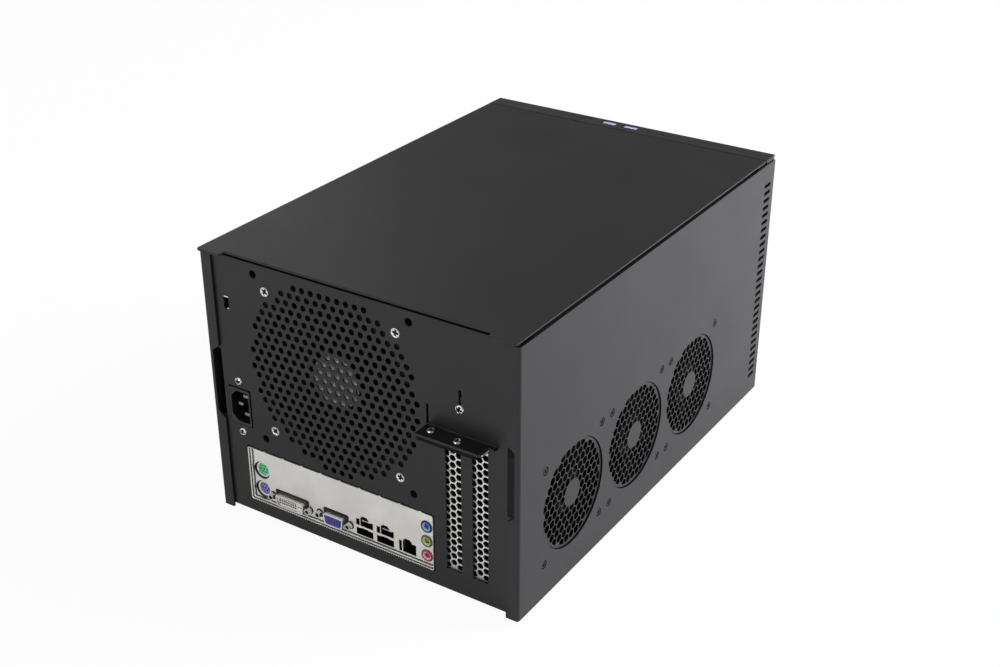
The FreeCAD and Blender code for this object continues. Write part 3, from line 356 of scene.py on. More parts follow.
def makeRearPanel(spec):
    boxes = [spec[name] for name in ("ports", "inlet", "lock", "ledge", "clampSlit", "window")]
    boxes += [(span(u, spec["slotWide"]), spec["slotUp"]) for u in spec["slots"]]
    openings = [roundedBox(across, up, spec["corner"], 2) for across, up in boxes]
    # the ledge's opening runs on into the slit at its end
    (ledgeLow, _), (ledgeFoot, ledgeTop) = spec["ledge"]
    (slitLow, slitHigh), (_, slitTop) = spec["endSlit"]
    openings[boxes.index(spec["ledge"])] = np.array([
        (ledgeLow, ledgeFoot), (slitHigh, ledgeFoot), (slitHigh, slitTop), (slitLow, slitTop),
        (slitLow, ledgeTop), (ledgeLow, ledgeTop)])
    corners = squareCorners(spec["fan"], spec["spare"])
    openings += [ring(corner, spec["sink"], 24) for corner in corners]
    # punched holes stay clear of the other openings and of the top fold
    spots = fanField(spec)
    lowest = np.array([(across[0], up[0]) for across, up in boxes])
    highest = np.array([(across[1], up[1]) for across, up in boxes])
    margin = spec["hole"] + spec["web"]
    inside = (spots[:, None] > lowest - margin) & (spots[:, None] < highest + margin)
    near = inside.all(axis=2).any(axis=1)
    spots = spots[~near & (spots[:, 1] < spec["up"][1] - spec["topClear"])]
    openings += [ring(spot, spec["hole"], spec["sides"]) for spot in spots]
    outer, inner = spec["depth"]
    shapes = [cutSheet(rectangle(spec["across"], spec["up"]), openings, outer, inner)]
    sink, hole = spec["sink"], spec["spareHole"]
    funnel = [(sink, outer), (hole, outer + spec["sinkDeep"]), (hole, inner), (sink, inner), (sink, outer)]
    shapes += [turned(funnel, corner, 24) for corner in corners]
    low, high = spec["across"]
    top = spec["up"][1]
    sheet = inner - outer
    behind = (inner, spec["foldDeep"])
    shapes += [block((low, low + sheet), spec["sideFold"], behind),
               block((high - sheet, high), spec["sideFold"], behind),
               block(spec["topFold"], (top - sheet, top), behind),
               block(*spec["slotLip"], (spec["lipReach"], outer))]
    print("rear panel:", len(spots), "punched holes")
    return addPiece("rearPanelPunched", rearView, shapes, satinPaint, "case", ["rear_panel"])


makeRearPanel(rearPanel)

# finger notch at the fan side: painted shade on the panel behind it, a dull dark strip with a black patch at
# its upper end
notchStripShade = {"across": (3.6, 9.6), "up": (77.0, 127.0), "corner": 1.0, "depth": (1.72, 1.8)}
notchEndShade = {"across": (3.7, 9.2), "up": (121.5, 128.0), "corner": 1.6, "depth": (1.55, 1.72)}
for name, spec, finish in (("fingerNotchStripShade", notchStripShade, shadeSteel),
                           ("fingerNotchEndShade", notchEndShade, socketBlackAndShade)):
    shape = plate(roundedBox(spec["across"], spec["up"], spec["corner"]), *spec["depth"])
    addPiece(name, rearView, [shape], finish, "case")

# lock slot: two bright lips of its liner, each as its ends across and up
lockLips = {"boxes": (((229.5, 233.1), (168.7, 169.5)), ((229.5, 230.9), (160.3, 161.0))),
            "depth": (2.0, 3.4)}
lips = [block(*box, lockLips["depth"]) for box in lockLips["boxes"]]
addPiece("lockSlotLips", rearView, lips, tinPlate, "case")


# side panels: slotted sheet, pressed honeycomb vents, rolled rear corner, flange with a finger notch
sidePanel = {
    "length": 364.0, "height": 198.3, "sheet": 1.5, "bend": 2.0, "corner": 0.8,
    "slots": {"low": 17.0, "pitch": 6.07, "count": 28, "along": (347.5, 358.0), "tall": 3.0, "round": 1.1},
    "fans": (66.9, 152.23, 237.56), "fanUp": 61.8, "screwAt": 35.75, "screwHole": 3.1,
    "rim": 38.5, "roll": 0.3, "rollSteps": ((1.0, 0.0), (0.55, 0.08), (0.2, 0.3)), "recess": 1.0, "land": 0.6,
    "stepShade": 0.45, "stepShadeTop": 0.22, "stepShadeSheet": (0.04, 0.03), "sides": 96,
    "field": 36.3, "hub": 9.8, "pitch": 6.3, "cell": 5.5, "rays": 24, "sliver": 0.2, "hair": 0.12,
    "flange": 9.5, "notch": (74.0, 130.0), "notchDeep": 6.0, "notchSlope": 4.0, "notchRound": 1.5,
    "returns": (18.0, 324.0), "returnWide": 5.0,
}


# honeycomb trimmed to a ring: each cell is a star of rays from its centre, and a ray ends at the wall of
# the hexagon, at the outer circle or at the hub circle, whichever it meets first
def trimmedCells(spec, centre):
    turn = np.pi / 6 + np.arange(spec["rays"]) * 2 * np.pi / spec["rays"]
    wall = spec["cell"] / 2 / np.cos((turn - np.pi / 6) % (np.pi / 3) - np.pi / 6)
    step = np.column_stack([np.cos(turn), np.sin(turn)])
    smallest = spec["sliver"] * np.sqrt(0.75) * spec["cell"] ** 2
    loops = []
    for spot in honeycomb(spec["pitch"], spec["field"])[:, ::-1]:
        far = np.hypot(*spot)
        if far <= spec["hub"] or far >= spec["field"]:
            continue
        along = step @ spot
        rim = np.sqrt(along ** 2 - far ** 2 + spec["field"] ** 2) - along
        inside = along ** 2 - far ** 2 + spec["hub"] ** 2
        toHub = np.where((inside > 0) & (along < 0), -along - np.sqrt(np.maximum(inside, 0)), np.inf)
        reach = np.minimum(np.minimum(wall, rim), toHub)
        cell = spot + step * reach[:, None] + centre
        if np.allclose(reach, wall):
            loops.append(cell[::spec["rays"] // 6])
        elif loopArea(cell) > smallest:
            loops.append(distinct(cell, spec["hair"]))
    return loops


# one vent: the rolled step into its recess and the pressed honeycomb, then a black ring of painted shade at
# the step's foot
def ventShapes(spec, centre):
    edge, deep, sheet = spec["rim"], spec["recess"], spec["sheet"]
    land = edge - spec["land"]
    step = [(edge + share * spec["roll"], depth) for share, depth in spec["rollSteps"]]
    step += [(edge, deep), (land, deep), (land, sheet), (edge + spec["roll"], sheet), step[0]]
    mesh = cutSheet(ring(centre, land, spec["sides"]), trimmedCells(spec, centre), deep, sheet)
    top = spec["stepShadeTop"]
    inner = edge - spec["stepShade"]
    wall = edge - spec["stepShadeSheet"][0]
    floor = deep - spec["stepShadeSheet"][1]
    stepShade = [(edge, top), (edge, deep), (inner, deep), (inner, floor), (wall, floor), (wall, top),
             (edge, top)]
    return [turned(step, centre, spec["sides"]), mesh], turned(stepShade, centre, spec["sides"])


def makeSidePanel(spec, name, node, fans, mirror):
    bend, sheet, height = spec["bend"], spec["sheet"], spec["height"]
    slots = spec["slots"]
    rows = slots["low"] + slots["pitch"] * np.arange(slots["count"])
    openings = [roundedBox(slots["along"], span(v, slots["tall"]), slots["round"], 3) for v in rows]
    vents, stepShades = [], []
    for w in fans:
        centre = (w, spec["fanUp"])
        openings.append(ring(centre, spec["rim"] + spec["roll"], spec["sides"]))
        openings += [ring(place, spec["screwHole"], 20) for place in squareCorners(centre, spec["screwAt"])]
        vent, stepShade = ventShapes(spec, centre)
        vents += vent
        stepShades.append(stepShade)
    soft = spec["corner"]
    outline = roundCorners([(bend, 0), (spec["length"], 0), (spec["length"], height), (bend, height)],
                           (0, soft, soft, 0))
    # sheet and vents are drawn from the side, the flange from the rear and the rest from the top
    flat = cutSheet(outline, openings, 0, sheet)
    shapes = [(points[:, sideView], faces) for points, faces in [flat, *vents]]
    # rolled corner in plan: outer quarter circle of the bend radius, inner one a sheet smaller
    quarter = np.linspace(np.pi, 1.5 * np.pi, 9)
    arc = np.column_stack([np.cos(quarter), np.sin(quarter)])
    shapes.append(plate(np.vstack([bend + bend * arc, bend + (bend - sheet) * arc[::-1]]), 0, height))
    low, high = spec["notch"]
    far = spec["flange"]
    deep = far - spec["notchDeep"]
    turn = spec["notchRound"]
    flange = roundCorners([
        (bend, 0), (far, 0), (far, low), (deep, low + spec["notchSlope"]), (deep, high - spec["notchSlope"]),
        (far, high), (far, height), (bend, height)], (0, soft, turn, turn, turn, turn, soft, 0))
    points, faces = plate(flange, 0, sheet)
    shapes.append((points[:, rearView], faces))
    for edge in ((0, sheet), (height - sheet, height)):
        shapes.append(block((sheet, spec["returnWide"]), spec["returns"], edge))
    if mirror:
        shapes = [(points * [-1, 1, 1] + [drawing["width"], 0, 0], faces) for points, faces in shapes]
    addPiece(name, topView, shapes, satinPaint, node, [node])
    # a black ring at each vent step's foot: painted shade
    if stepShades:
        addPiece("ventStepShade", sideView, stepShades, socketBlackAndShade, node)


makeSidePanel(sidePanel, "fanSidePanelPressed", "fan_side_panel", sidePanel["fans"], False)
makeSidePanel(sidePanel, "plainSidePanelFolded", "plain_side_panel", (), True)
print("side panels made")


# top cover: flat plate with two rounded ears at the rear, edges eased
topCover = {"across": (0.8, 249.2), "along": (2.5, 348.2), "ear": 19.7, "earReach": -3.5, "earCorner": 3.0,
            "earInner": 0.6, "frontCorner": 0.4, "depth": (200.5, 202.0), "edge": 0.35}


def makeTopCover(spec):
    low, high = spec["across"]
    rear, front = spec["along"]
    tip = spec["earReach"]
    inLow, inHigh = low + spec["ear"], high - spec["ear"]
    corners = [(low, front), (low, tip), (inLow, tip), (inLow, rear), (inHigh, rear), (inHigh, tip),
               (high, tip), (high, front)]
    half = [spec["frontCorner"], spec["earCorner"], spec["earInner"], spec["earInner"]]
    outline = roundCorners(corners, half + half[::-1], 6)
    return addPiece("topCoverPlate", topView, [plate(outline, *spec["depth"])], satinPaint, "case",
                    ["top_cover"], edge=spec["edge"])


makeTopCover(topCover)


# slot covers: bright honeycomb strips with a tab bent out under the retainer
slotCovers = {"wide": 18.4, "up": (13.0, 123.4), "sheet": 0.9, "fieldHalf": 6.9, "fieldUp": (17.5, 119.0),
              "pitch": 5.35, "cell": 4.5, "soft": 0.3, "shift": 2.0, "drop": 2.07, "tab": (122.5, 123.4),
              "reach": -9.5}


def makeSlotCovers(spec):
    low, high = spec["fieldUp"]
    middle = (low + high) / 2
    tall = (high - low) / 2
    back = drawing["rear"] - 1000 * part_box("slot_covers")[0][1]
    front = back - spec["sheet"]
    shapes = []
    for u in rearPanel["slots"]:
        spots = honeycomb(spec["pitch"], tall) + (u + spec["shift"], middle - spec["drop"])
        away = np.abs(spots - (u, middle))
        inside = (away < (spec["fieldHalf"] + spec["shift"] / 2, tall - spec["cell"] / 2)).all(axis=1)
        hexagons = [ring(spot, spec["cell"] / np.sqrt(3), 6) for spot in spots[inside]]
        cells = [roundCorners(hexagon, spec["soft"], 1) for hexagon in hexagons]
        across = span(u, spec["wide"])
        shapes.append(cutSheet(rectangle(across, spec["up"]), cells, front, back))
        shapes.append(block(across, spec["tab"], (spec["reach"], front)))
    return addPiece("slotCoverHoneycomb", rearView, shapes, slotNickel, "case", ["slot_covers"])


makeSlotCovers(slotCovers)


# retainer: ledge stepped in at one end, a turned-down lip in black as painted shade, a plate behind the panel
# and painted highlights along two edges
retainer = {
    "across": (16.83, 68.65), "reach": -12.5, "back": 4.2, "step": (4.0, -2.5), "up": (123.4, 125.0),
    "corners": (0.2, 0.5, 0.5, 2.0, 1.2, 0.2), "plate": 27.0, "edge": 0.3, "lip": 2.4, "lipEnds": (2.0, 1.2),
    "wall": 1.2, "paintedGlint": (1.05, 1.75), "paintedGlintRise": 0.2, "paintedGlintFront": (0.1, 0.35), "paintedGlintLevel": (-0.02, 0.05),
}


def makeRetainer(spec):
    low, high = spec["across"]
    inner, out = low + spec["step"][0], spec["reach"]
    back, wall = spec["back"], spec["wall"]
    bottom, top = spec["up"]
    ledge = roundCorners([(low, back), (low, spec["step"][1]), (inner, spec["step"][1]), (inner, out),
                          (high, out), (high, back)], spec["corners"])
    behind = block((low, high), (back - wall, back), (bottom, bottom + spec["plate"]))
    shapes = [plate(ledge, *spec["up"]), behind]
    addPiece("slotRetainerLedge", topView, shapes, ledgePaint, "case", ["slot_retainer"], edge=spec["edge"])
    front = (inner + spec["lipEnds"][0], high - spec["lipEnds"][1])
    # the turned-down lip is near black: painted shade under the ledge's front edge
    lip = block(front, (out, out + wall), (bottom - spec["lip"], bottom))
    addPiece("slotRetainerLipShade", topView, [lip], socketBlackAndShade, "case")
    # paler strips along the ledge's back fold and front edge: painted highlights
    paintedGlint = [block((low, high), spec["paintedGlint"], (top, top + spec["paintedGlintRise"])),
            block(front, np.add(out, spec["paintedGlintFront"]), np.add(top, spec["paintedGlintLevel"]))]
    addPiece("slotRetainerGlint", topView, paintedGlint, paintedGlintCoat, "case")


makeRetainer(retainer)


# port plate: stamped sheet with an opening for each port, a stepped rim proud of the panel, spring tabs;
# rim and shadeGrooves are pairs of inset and depth, the grooves being dark rings of painted shade; wide
# openings are place and size, boxes are place, width and height
portPlate = {
    "shadeBorder": ((63.8, 225.5), (11.0, 58.5)), "depth": (3.0, 3.8), "face": ((66.1, 223.2), (13.3, 56.2)),
    "corner": 1.4, "narrow": 0.4, "hair": 0.05,
    "rim": ((0.0, 3.0), (0.0, 0.95), (0.15, 0.8), (0.75, 0.8), (0.9, 1.0), (0.95, 2.6), (1.6, 2.6),
            (1.6, 1.7), (1.75, 1.55), (2.2, 1.55), (2.35, 1.7), (2.4, 3.05), (1.0, 3.2)),
    "shadeGrooves": (((0.95, 2.2), (1.6, 2.2), (1.6, 2.3), (0.95, 2.3)),
                ((2.4, 2.7), (3.0, 2.94), (3.0, 3.05), (2.4, 3.05))),
    "round": ((212.8, 23.6), (212.8, 39.2)), "roundHole": 6.9, "roundShift": 0.45,
    "wide": ((187.0, 21.3, 29.8, 8.6), (148.5, 22.0, 21.8, 8.6)), "wideCorner": 1.5, "wideRoom": (0.3, 2.4),
    "boxes": ((124.1, 15.8, 17.0), (106.8, 15.8, 17.0), (88.5, 16.4, 14.6)), "floor": 16.4, "boxCorner": 0.4,
    "jacks": (72.6, (21.9, 33.3, 44.7)), "jackHole": 4.7,
    "nuts": ((204.3, 21.3), (171.9, 20.8), (162.6, 22.0), (136.6, 21.8)), "nutHole": 3.3, "nutWeb": 0.35,
    "tabs": {"first": 76.0, "pitch": 16.5, "count": 9, "wide": 1.7, "deep": 2.0, "rise": (-0.1, 0.45)},
    "teeth": {"ends": 3, "pitch": 1.9, "wide": 0.8, "up": (13.38, 14.0), "depth": (0.74, 0.9)},
}


# stepped rim: the profile carried round a rounded rectangle, narrower above and on the jack side
def steppedRim(spec, profile):
    across, up = spec["face"]
    rows = []
    for inset, depth in profile:
        thin = spec["narrow"] * inset
        box = roundedBox((across[0] + thin, across[1] - inset), (up[0] + inset, up[1] - thin), spec["corner"])
        rows.append(np.column_stack([box, np.full(len(box), depth)]))
    rows = np.stack(rows + rows[:1])
    return rows.reshape(-1, 3), gridFaces(len(rows), rows.shape[1], True)


def makePortPlate(spec):
    across, up = spec["face"]
    shift = spec["roundShift"]
    openings = [ring((u + shift, v - shift), spec["roundHole"], 32) for u, v in spec["round"]]
    below, above = spec["wideRoom"]
    for u, v, wide, tall in spec["wide"]:
        rise = (v - tall / 2 - below, v + tall / 2 + above)
        openings.append(roundedBox(span(u, wide), rise, spec["wideCorner"]))
    for u, wide, tall in spec["boxes"]:
        rise = (spec["floor"], spec["floor"] + tall)
        openings.append(roundedBox(span(u, wide), rise, spec["boxCorner"], 2))
    openings += [ring((spec["jacks"][0], v), spec["jackHole"], 28) for v in spec["jacks"][1]]
    # holes round the nuts stop where the wide openings begin
    for u, v in spec["nuts"]:
        middle, _, wide, _ = min(spec["wide"], key=lambda hole: abs(hole[0] - u))
        side = np.sign(u - middle)
        limit = middle + side * (wide / 2 + spec["nutWeb"])
        loop = ring((u, v), spec["nutHole"], 28)
        loop[:, 0] = side * np.maximum(side * loop[:, 0], side * limit)
        openings.append(distinct(loop, spec["hair"]))
    face = roundedBox(across, up, spec["corner"])
    shapes = [cutSheet(face, openings, *spec["depth"]), steppedRim(spec, spec["rim"])]
    tabs = spec["tabs"]
    for u in tabs["first"] + tabs["pitch"] * np.arange(tabs["count"]):
        shapes.append(block(span(u, tabs["wide"]), np.add(up[1], tabs["rise"]),
                            (spec["depth"][0] - tabs["deep"], spec["depth"][0])))
    addPiece("portPlateStamped", rearView, shapes, tinPlate, "case", ["io_shield"])
    # a near black border round the plate and dark rings in its grooves: painted shade
    shadeBorder = cutSheet(rectangle(*spec["shadeBorder"]), [face], *spec["depth"])
    shadeGrooves = [steppedRim(spec, groove) for groove in spec["shadeGrooves"]]
    addPiece("portPlateBorderShade", rearView, [shadeBorder, *shadeGrooves], shadeSteel, "case")
    # fine slits across the lower rim, drawn as dark marks of painted shade
    teeth = spec["teeth"]
    slits = [block(span(u, teeth["wide"]), teeth["up"], teeth["depth"])
             for u in np.arange(across[0] + teeth["ends"], across[1] - teeth["ends"], teeth["pitch"])]
    addPiece("portPlateSlitShade", rearView, slits, shadeSteel, "case")


makePortPlate(portPlate)
print("rear sheets made")


# round keyboard and mouse ports: bright collar, coloured insert with its pin holes and key slots
roundPorts = {"radius": 4.4, "face": 4.7, "back": 9.0, "sides": 72, "notches": (90, 205, 335), "notch": 0.75,
              "notchDeep": 0.9, "pinShadedRing": 2.5, "pin": 0.62, "pins": 6, "pinStart": 60,
              "key": ((-0.7, 0.7), (-0.9, 0.5)), "keyCorner": 0.2,
              "collar": (4.6, 6.0), "collarDepth": (3.1, 5.4), "collarEase": 0.3, "off": (-0.55, 0.5)}


# insert outline: a circle whose radius drops in three narrow notches
def insertLoop(spec, centre):
    angle = np.arange(spec["sides"]) * 2 * np.pi / spec["sides"]
    away = (angle[:, None] - np.radians(spec["notches"]) + np.pi) % (2 * np.pi) - np.pi
    near = np.abs(away).min(axis=1) * spec["radius"] < spec["notch"]
    radius = spec["radius"] - spec["notchDeep"] * near
    return np.column_stack([centre[0] + radius * np.cos(angle), centre[1] + radius * np.sin(angle)])


def makeRoundPort(spec, name, node, centre, finish):
    spots = ring(centre, spec["pinShadedRing"], spec["pins"], np.radians(spec["pinStart"]))
    holes = [ring(spot, spec["pin"], 8) for spot in spots]
    across, up = spec["key"]
    holes.append(roundedBox(np.add(centre[0], across), np.add(centre[1], up), spec["keyCorner"], 2))
    insert = cutSheet(insertLoop(spec, centre), holes, spec["face"], spec["back"])
    addPiece(name + "Insert", rearView, [insert], finish, "case", [node])
    low, high = spec["collarDepth"]
    small, large = spec["collar"]
    ease = spec["collarEase"]
    profile = [(small, high), (small, low + ease), (small + ease, low), (large - ease, low),
               (large, low + ease), (large, high), (small, high)]
    collar = turned(profile, np.add(centre, spec["off"]), 36)
    addPiece(name + "Collar", rearView, [collar], tinPlate, "case")


makeRoundPort(roundPorts, "keyboardPort", "keyboard_port", portPlate["round"][0], keyboardPurple)
makeRoundPort(roundPorts, "mousePort", "mouse_port", portPlate["round"][1], mouseGreen)


# D-shaped video ports: drawn steel shell, thin insert with pin holes over a black core, hexagon nuts
videoShell = {"wall": 0.8, "taper": 1.2, "corner": 2.2, "cornerDrop": 0.6, "tip": -1.0, "plate": 3.8,
              "face": 0.6, "skin": 0.4, "flangeUp": (16.4, 26.8), "flangeSheet": 0.8, "body": 21.8}
videoPorts = {
    "dvi": {"centre": (187.0, 21.3), "size": (25.0, 8.6), "flange": 34.4, "finish": videoCream,
            "pins": {"centre": (189.6, 21.3), "count": (8, 3), "step": (1.95, 1.9), "radius": 1.02,
                     "sides": 4},
            "blades": [rectangle((176.4, 180.6), (21.0, 21.7))]},
    "vga": {"centre": (148.5, 22.0), "size": (17.0, 8.6), "flange": 30.0, "finish": videoBlue,
            "pins": {"centre": (148.5, 22.0), "count": (5, 3), "step": (2.3, 2.0), "radius": 0.62,
                     "sides": 8},
            "blades": []},
}
videoNuts = {"flats": 4.6, "bore": 1.5, "turn": 0.3, "depth": (-0.6, 3.8), "edge": 0.2}


# D outline: a box that narrows below, set in from its size
def shellOutline(spec, centre, size, inset):
    left, right = span(centre[0], size[0] - 2 * inset)
    foot, top = span(centre[1], size[1] - 2 * inset)
    corners = [(left + spec["taper"], foot), (right - spec["taper"], foot), (right, top), (left, top)]
    return roundCorners(corners, spec["corner"] - spec["cornerDrop"] * inset, 6)


# pin holes in rows about a centre: a step apart across and a step apart up
def pinRows(spec):
    grid = zip(spec["count"], spec["step"])
    across, up = np.meshgrid(*[(np.arange(count) - (count - 1) / 2) * step for count, step in grid])
    spots = np.column_stack([across.ravel(), up.ravel()]) + spec["centre"]
    return [ring(spot, spec["radius"], spec["sides"], np.pi / 4) for spot in spots]


def makeVideoPort(spec, name, port):
    centre, size = port["centre"], port["size"]
    mouth = shellOutline(spec, centre, size, spec["wall"])
    skirt = cutSheet(shellOutline(spec, centre, size, 0), [mouth], spec["tip"], spec["plate"])
    back = spec["plate"] + spec["flangeSheet"]
    mount = block(span(centre[0], port["flange"]), spec["flangeUp"], (spec["plate"], back))
    body = block(span(centre[0], size[0]), spec["flangeUp"], (back, spec["body"]))
    addPiece(name + "Shell", rearView, [skirt], tinPlate, "case", [name + "_shell"])
    addPiece(name + "Mount", rearView, [mount, body], portNylon, "case")
    floor = spec["face"] + spec["skin"]
    insert = cutSheet(mouth, pinRows(port["pins"]) + port["blades"], spec["face"], floor)
    addPiece(name + "Insert", rearView, [insert], port["finish"], "case", [name + "_insert"])
    addPiece(name + "Core", rearView, [plate(mouth, floor, spec["plate"])], socketBlackAndShade, "case")


for name, port in videoPorts.items():
    makeVideoPort(videoShell, name, port)
nutShapes = []
for place in portPlate["nuts"]:
    hexagon = ring(place, videoNuts["flats"] / np.sqrt(3), 6, videoNuts["turn"])
    nutShapes.append(cutSheet(hexagon, [ring(place, videoNuts["bore"], 14)], *videoNuts["depth"]))
addPiece("videoNuts", rearView, nutShapes, screwNickel, "case", edge=videoNuts["edge"])


# stacked sockets and network jack: folded shield with plug-shaped mouths over a black core; springs are
# boxes across from the port's middle, up and in depth
plugSocket = {"front": 2.97, "sheet": 0.4, "deep": 15.6, "back": 20.6, "corner": 0.5}
stackPort = {
    "mouths": (
        {"low": 17.2, "wide": 14.2, "tall": 5.4, "latch": 7.0, "latchTall": 0.3, "key": 5.0, "keyTall": 0.2},
        {"low": 24.6, "wide": 14.2, "tall": 5.2, "latch": 7.0, "latchTall": 1.6, "key": 4.8, "keyTall": 1.2}),
    "springs": (((3.9, 4.5), (24.6, 29.6), (3.4, 9.0)), ((-5.0, 2.5), (28.9, 29.4), (3.4, 8.0)))}
networkPort = {
    "mouths": (
        {"low": 17.5, "wide": 14.0, "tall": 8.4, "latch": 6.8, "latchTall": 1.6, "key": 4.6, "keyTall": 1.0},
    ),
    "springs": (((4.2, 5.0), (17.5, 25.6), (3.4, 9.0)),)}


# plug mouth: a rectangle with a step and a narrower key above it, its right half mirrored to the left
def mouthLoop(u, spec):
    half, latch, key = spec["wide"] / 2, spec["latch"] / 2, spec["key"] / 2
    low = spec["low"]
    top = low + spec["tall"]
    step = top + spec["latchTall"]
    peak = step + spec["keyTall"]
    right = np.array([(half, low), (half, top), (latch, top), (latch, step), (key, step), (key, peak)])
    left = right[::-1] * (-1, 1)
    return np.vstack([left[-1:], right, left[:-1]]) + (u, 0)


def makeSockets(spec, port, name, node, box):
    u, wide, tall = box
    outline = roundedBox(span(u, wide), (portPlate["floor"], portPlate["floor"] + tall), spec["corner"], 2)
    mouths = [mouthLoop(u, mouth) for mouth in port["mouths"]]
    skin = spec["front"] + spec["sheet"]
    springs = [block(np.add(u, across), up, depth) for across, up, depth in port["springs"]]
    shield = [cutSheet(outline, mouths, spec["front"], skin), *springs]
    addPiece(name + "Shield", rearView, shield, tinPlate, "case", [node])
    core = [cutSheet(outline, mouths, skin, spec["deep"]), plate(outline, spec["deep"], spec["back"])]
    addPiece(name + "Core", rearView, core, socketBlackAndShade, "case")


makeSockets(plugSocket, stackPort, "portStack1", "port_stack_1", portPlate["boxes"][0])
makeSockets(plugSocket, stackPort, "portStack2", "port_stack_2", portPlate["boxes"][1])
makeSockets(plugSocket, networkPort, "networkJack", "network_port", portPlate["boxes"][2])


# audio jacks, as turned profiles of radius and depth: an outer ring with a rounded lip, darker as painted
# shade, a cone inside it paler as a painted highlight, and a deep coloured bore
audioJacks = {
    "ShadedRing": ((3.2, 3.8), (3.2, 2.6), (3.4, 2.2), (4.1, 2.2), (4.5, 2.7), (4.5, 3.8), (3.2, 3.8)),
    "Cone": ((3.2, 3.8), (3.2, 2.45), (2.3, 2.9), (2.0, 3.3), (2.0, 3.8), (3.2, 3.8)),
    "Bore": ((0, 4.4), (2.0, 4.4), (2.0, 3.8), (2.3, 3.8), (2.3, 4.8), (0, 4.8)),
}
jackSides = {"ShadedRing": 36, "Cone": 36, "Bore": 24}
jackRows = (("microphoneJack", "microphone_jack", "Pink"), ("lineOutJack", "line_out_jack", "Lime"),
            ("lineInJack", "line_in_jack", "Blue"))
for (name, node, colour), v in zip(jackRows, portPlate["jacks"][1]):
    for part, profile in audioJacks.items():
        shape = turned(profile, (portPlate["jacks"][0], v), jackSides[part])
        stands = [node] if part == "ShadedRing" else []
        addPiece(name + part, rearView, [shape], jackFinishes[colour, part], "case", stands, sharp=50)
print("ports made")


# power inlet: moulded housing, a cavity with two cut corners, lugs behind the panel
powerInlet = {"centre": (226.6, 86.7), "size": (18.0, 27.8), "corner": 1.0, "front": 1.2, "floor": 16.0,
              "back": 21.2, "cavity": (15.6, 23.8), "cut": 5.0, "lug": (20.4, 50.0), "lugDepth": (3.0, 5.0)}


def makeInlet(spec):
    u, v = spec["centre"]
    foot, top = span(v, spec["size"][1])
    wide, high = spec["cavity"][0] / 2, spec["cavity"][1] / 2
    cut = spec["cut"]
    outline = roundedBox(span(u, spec["size"][0]), (foot, top), spec["corner"])
    corners = np.array([(-wide, -high), (wide - cut, -high), (wide, cut - high), (wide, high - cut),
                        (wide - cut, high), (-wide, high)])
    cavity = roundCorners(corners + (u, v), spec["corner"])
    shapes = [cutSheet(outline, [cavity], spec["front"], spec["floor"]),
              plate(outline, spec["floor"], spec["back"])]
    lugFoot, lugTop = span(v, spec["lug"][1])
    for up in ((lugFoot, foot), (top, lugTop)):
        shapes.append(block(span(u, spec["lug"][0]), up, spec["lugDepth"]))
    return addPiece("powerInletHousing", rearView, shapes, inletPlastic, "case", ["power_inlet"])


makeInlet(powerInlet)


# screws: nickel ones on the rear and the ledge, black flush ones in the fan side; face is +1 where depth
# grows out of the surface and -1 where it shrinks, and the dome is a share of the rise
screws = {
    "fan": {"radius": 3.5, "foot": 1.8, "rise": 0.9, "face": -1, "dome": 0.1,
            "places": squareCorners(rearPanel["fan"], 52.5), "turns": (-1.3, 0.1, 0.7, 2.1)},
    "inlet": {"radius": 2.9, "foot": 1.8, "rise": 1.6, "face": -1, "dome": 0.55,
              "places": ((226.6, 66.7), (226.6, 106.7)), "turns": (0.5, 1.5)},
    "clamp": {"radius": 3.1, "foot": 1.8, "rise": 1.8, "face": -1, "dome": 0.4,
              "places": ((44.0, 143.0),), "turns": (0.3,)},
    "ledge": {"radius": 2.8, "foot": 125.0, "rise": 1.6, "face": 1, "dome": 0.4,
              "places": ((61.6, -4.7), (40.7, -6.4)), "turns": (0.6, 1.6)},
    "side": {"radius": 2.45, "foot": 1.2, "rise": 1.1, "face": -1, "dome": 0.08,
             "places": [place for w in sidePanel["fans"]
                        for place in squareCorners((w, sidePanel["fanUp"]), sidePanel["screwAt"])],
             "turns": [w + turn for w in sidePanel["fans"] for turn in (-2.8, 1.2, -0.8, 3.2)]},
}
# what all heads share: arms, rim and the cross's painted shade are shares of the radius, drops and cut of the
# rise
screwForm = {"rows": 15, "sides": 40, "arm": (0.6, 0.2), "flank": (1.25, 0.45), "cut": 0.85, "rim": 0.93,
             "rimDrop": 0.75, "skirt": 0.3, "crossShade": (0.62, 0.2), "crossShadeDome": 0.12, "crossShadeSink": 0.3,
             "crossShadeSheet": 0.1}


# screw head as a field on polar coordinates: a dome whose height drops at its rim and in a cross of two arms
def screwHead(spec, form, centre, turn):
    share = np.linspace(0, 1, form["rows"])[:, None]
    angle = np.arange(form["sides"])[None, :] * 2 * np.pi / form["sides"]
    across = share * np.cos(angle)
    up = share * np.sin(angle)
    along = np.abs(across * np.cos(turn) + up * np.sin(turn))
    beside = np.abs(up * np.cos(turn) - across * np.sin(turn))
    long, wide = form["arm"]
    arms = np.minimum(np.maximum(along / long, beside / wide), np.maximum(beside / long, along / wide))
    cut = np.clip((form["flank"][0] - arms) / form["flank"][1], 0, 1)
    rim = np.maximum(share - form["rim"], 0) / (1 - form["rim"])
    height = spec["rise"] * (1 - spec["dome"] * share ** 2 - form["rimDrop"] * rim - form["cut"] * cut)
    depth = spec["foot"] + spec["face"] * height
    cap = np.stack([centre[0] + spec["radius"] * across, centre[1] + spec["radius"] * up, depth], axis=-1)
    base = cap[-1:].copy()
    base[..., 2] = spec["foot"] - spec["face"] * form["skirt"]
    pole = np.broadcast_to(np.array([*centre, base[0, 0, 2]]), base.shape)
    points = np.concatenate([cap, base, pole]).reshape(-1, 3)
    return points, gridFaces(form["rows"] + 2, form["sides"], True)


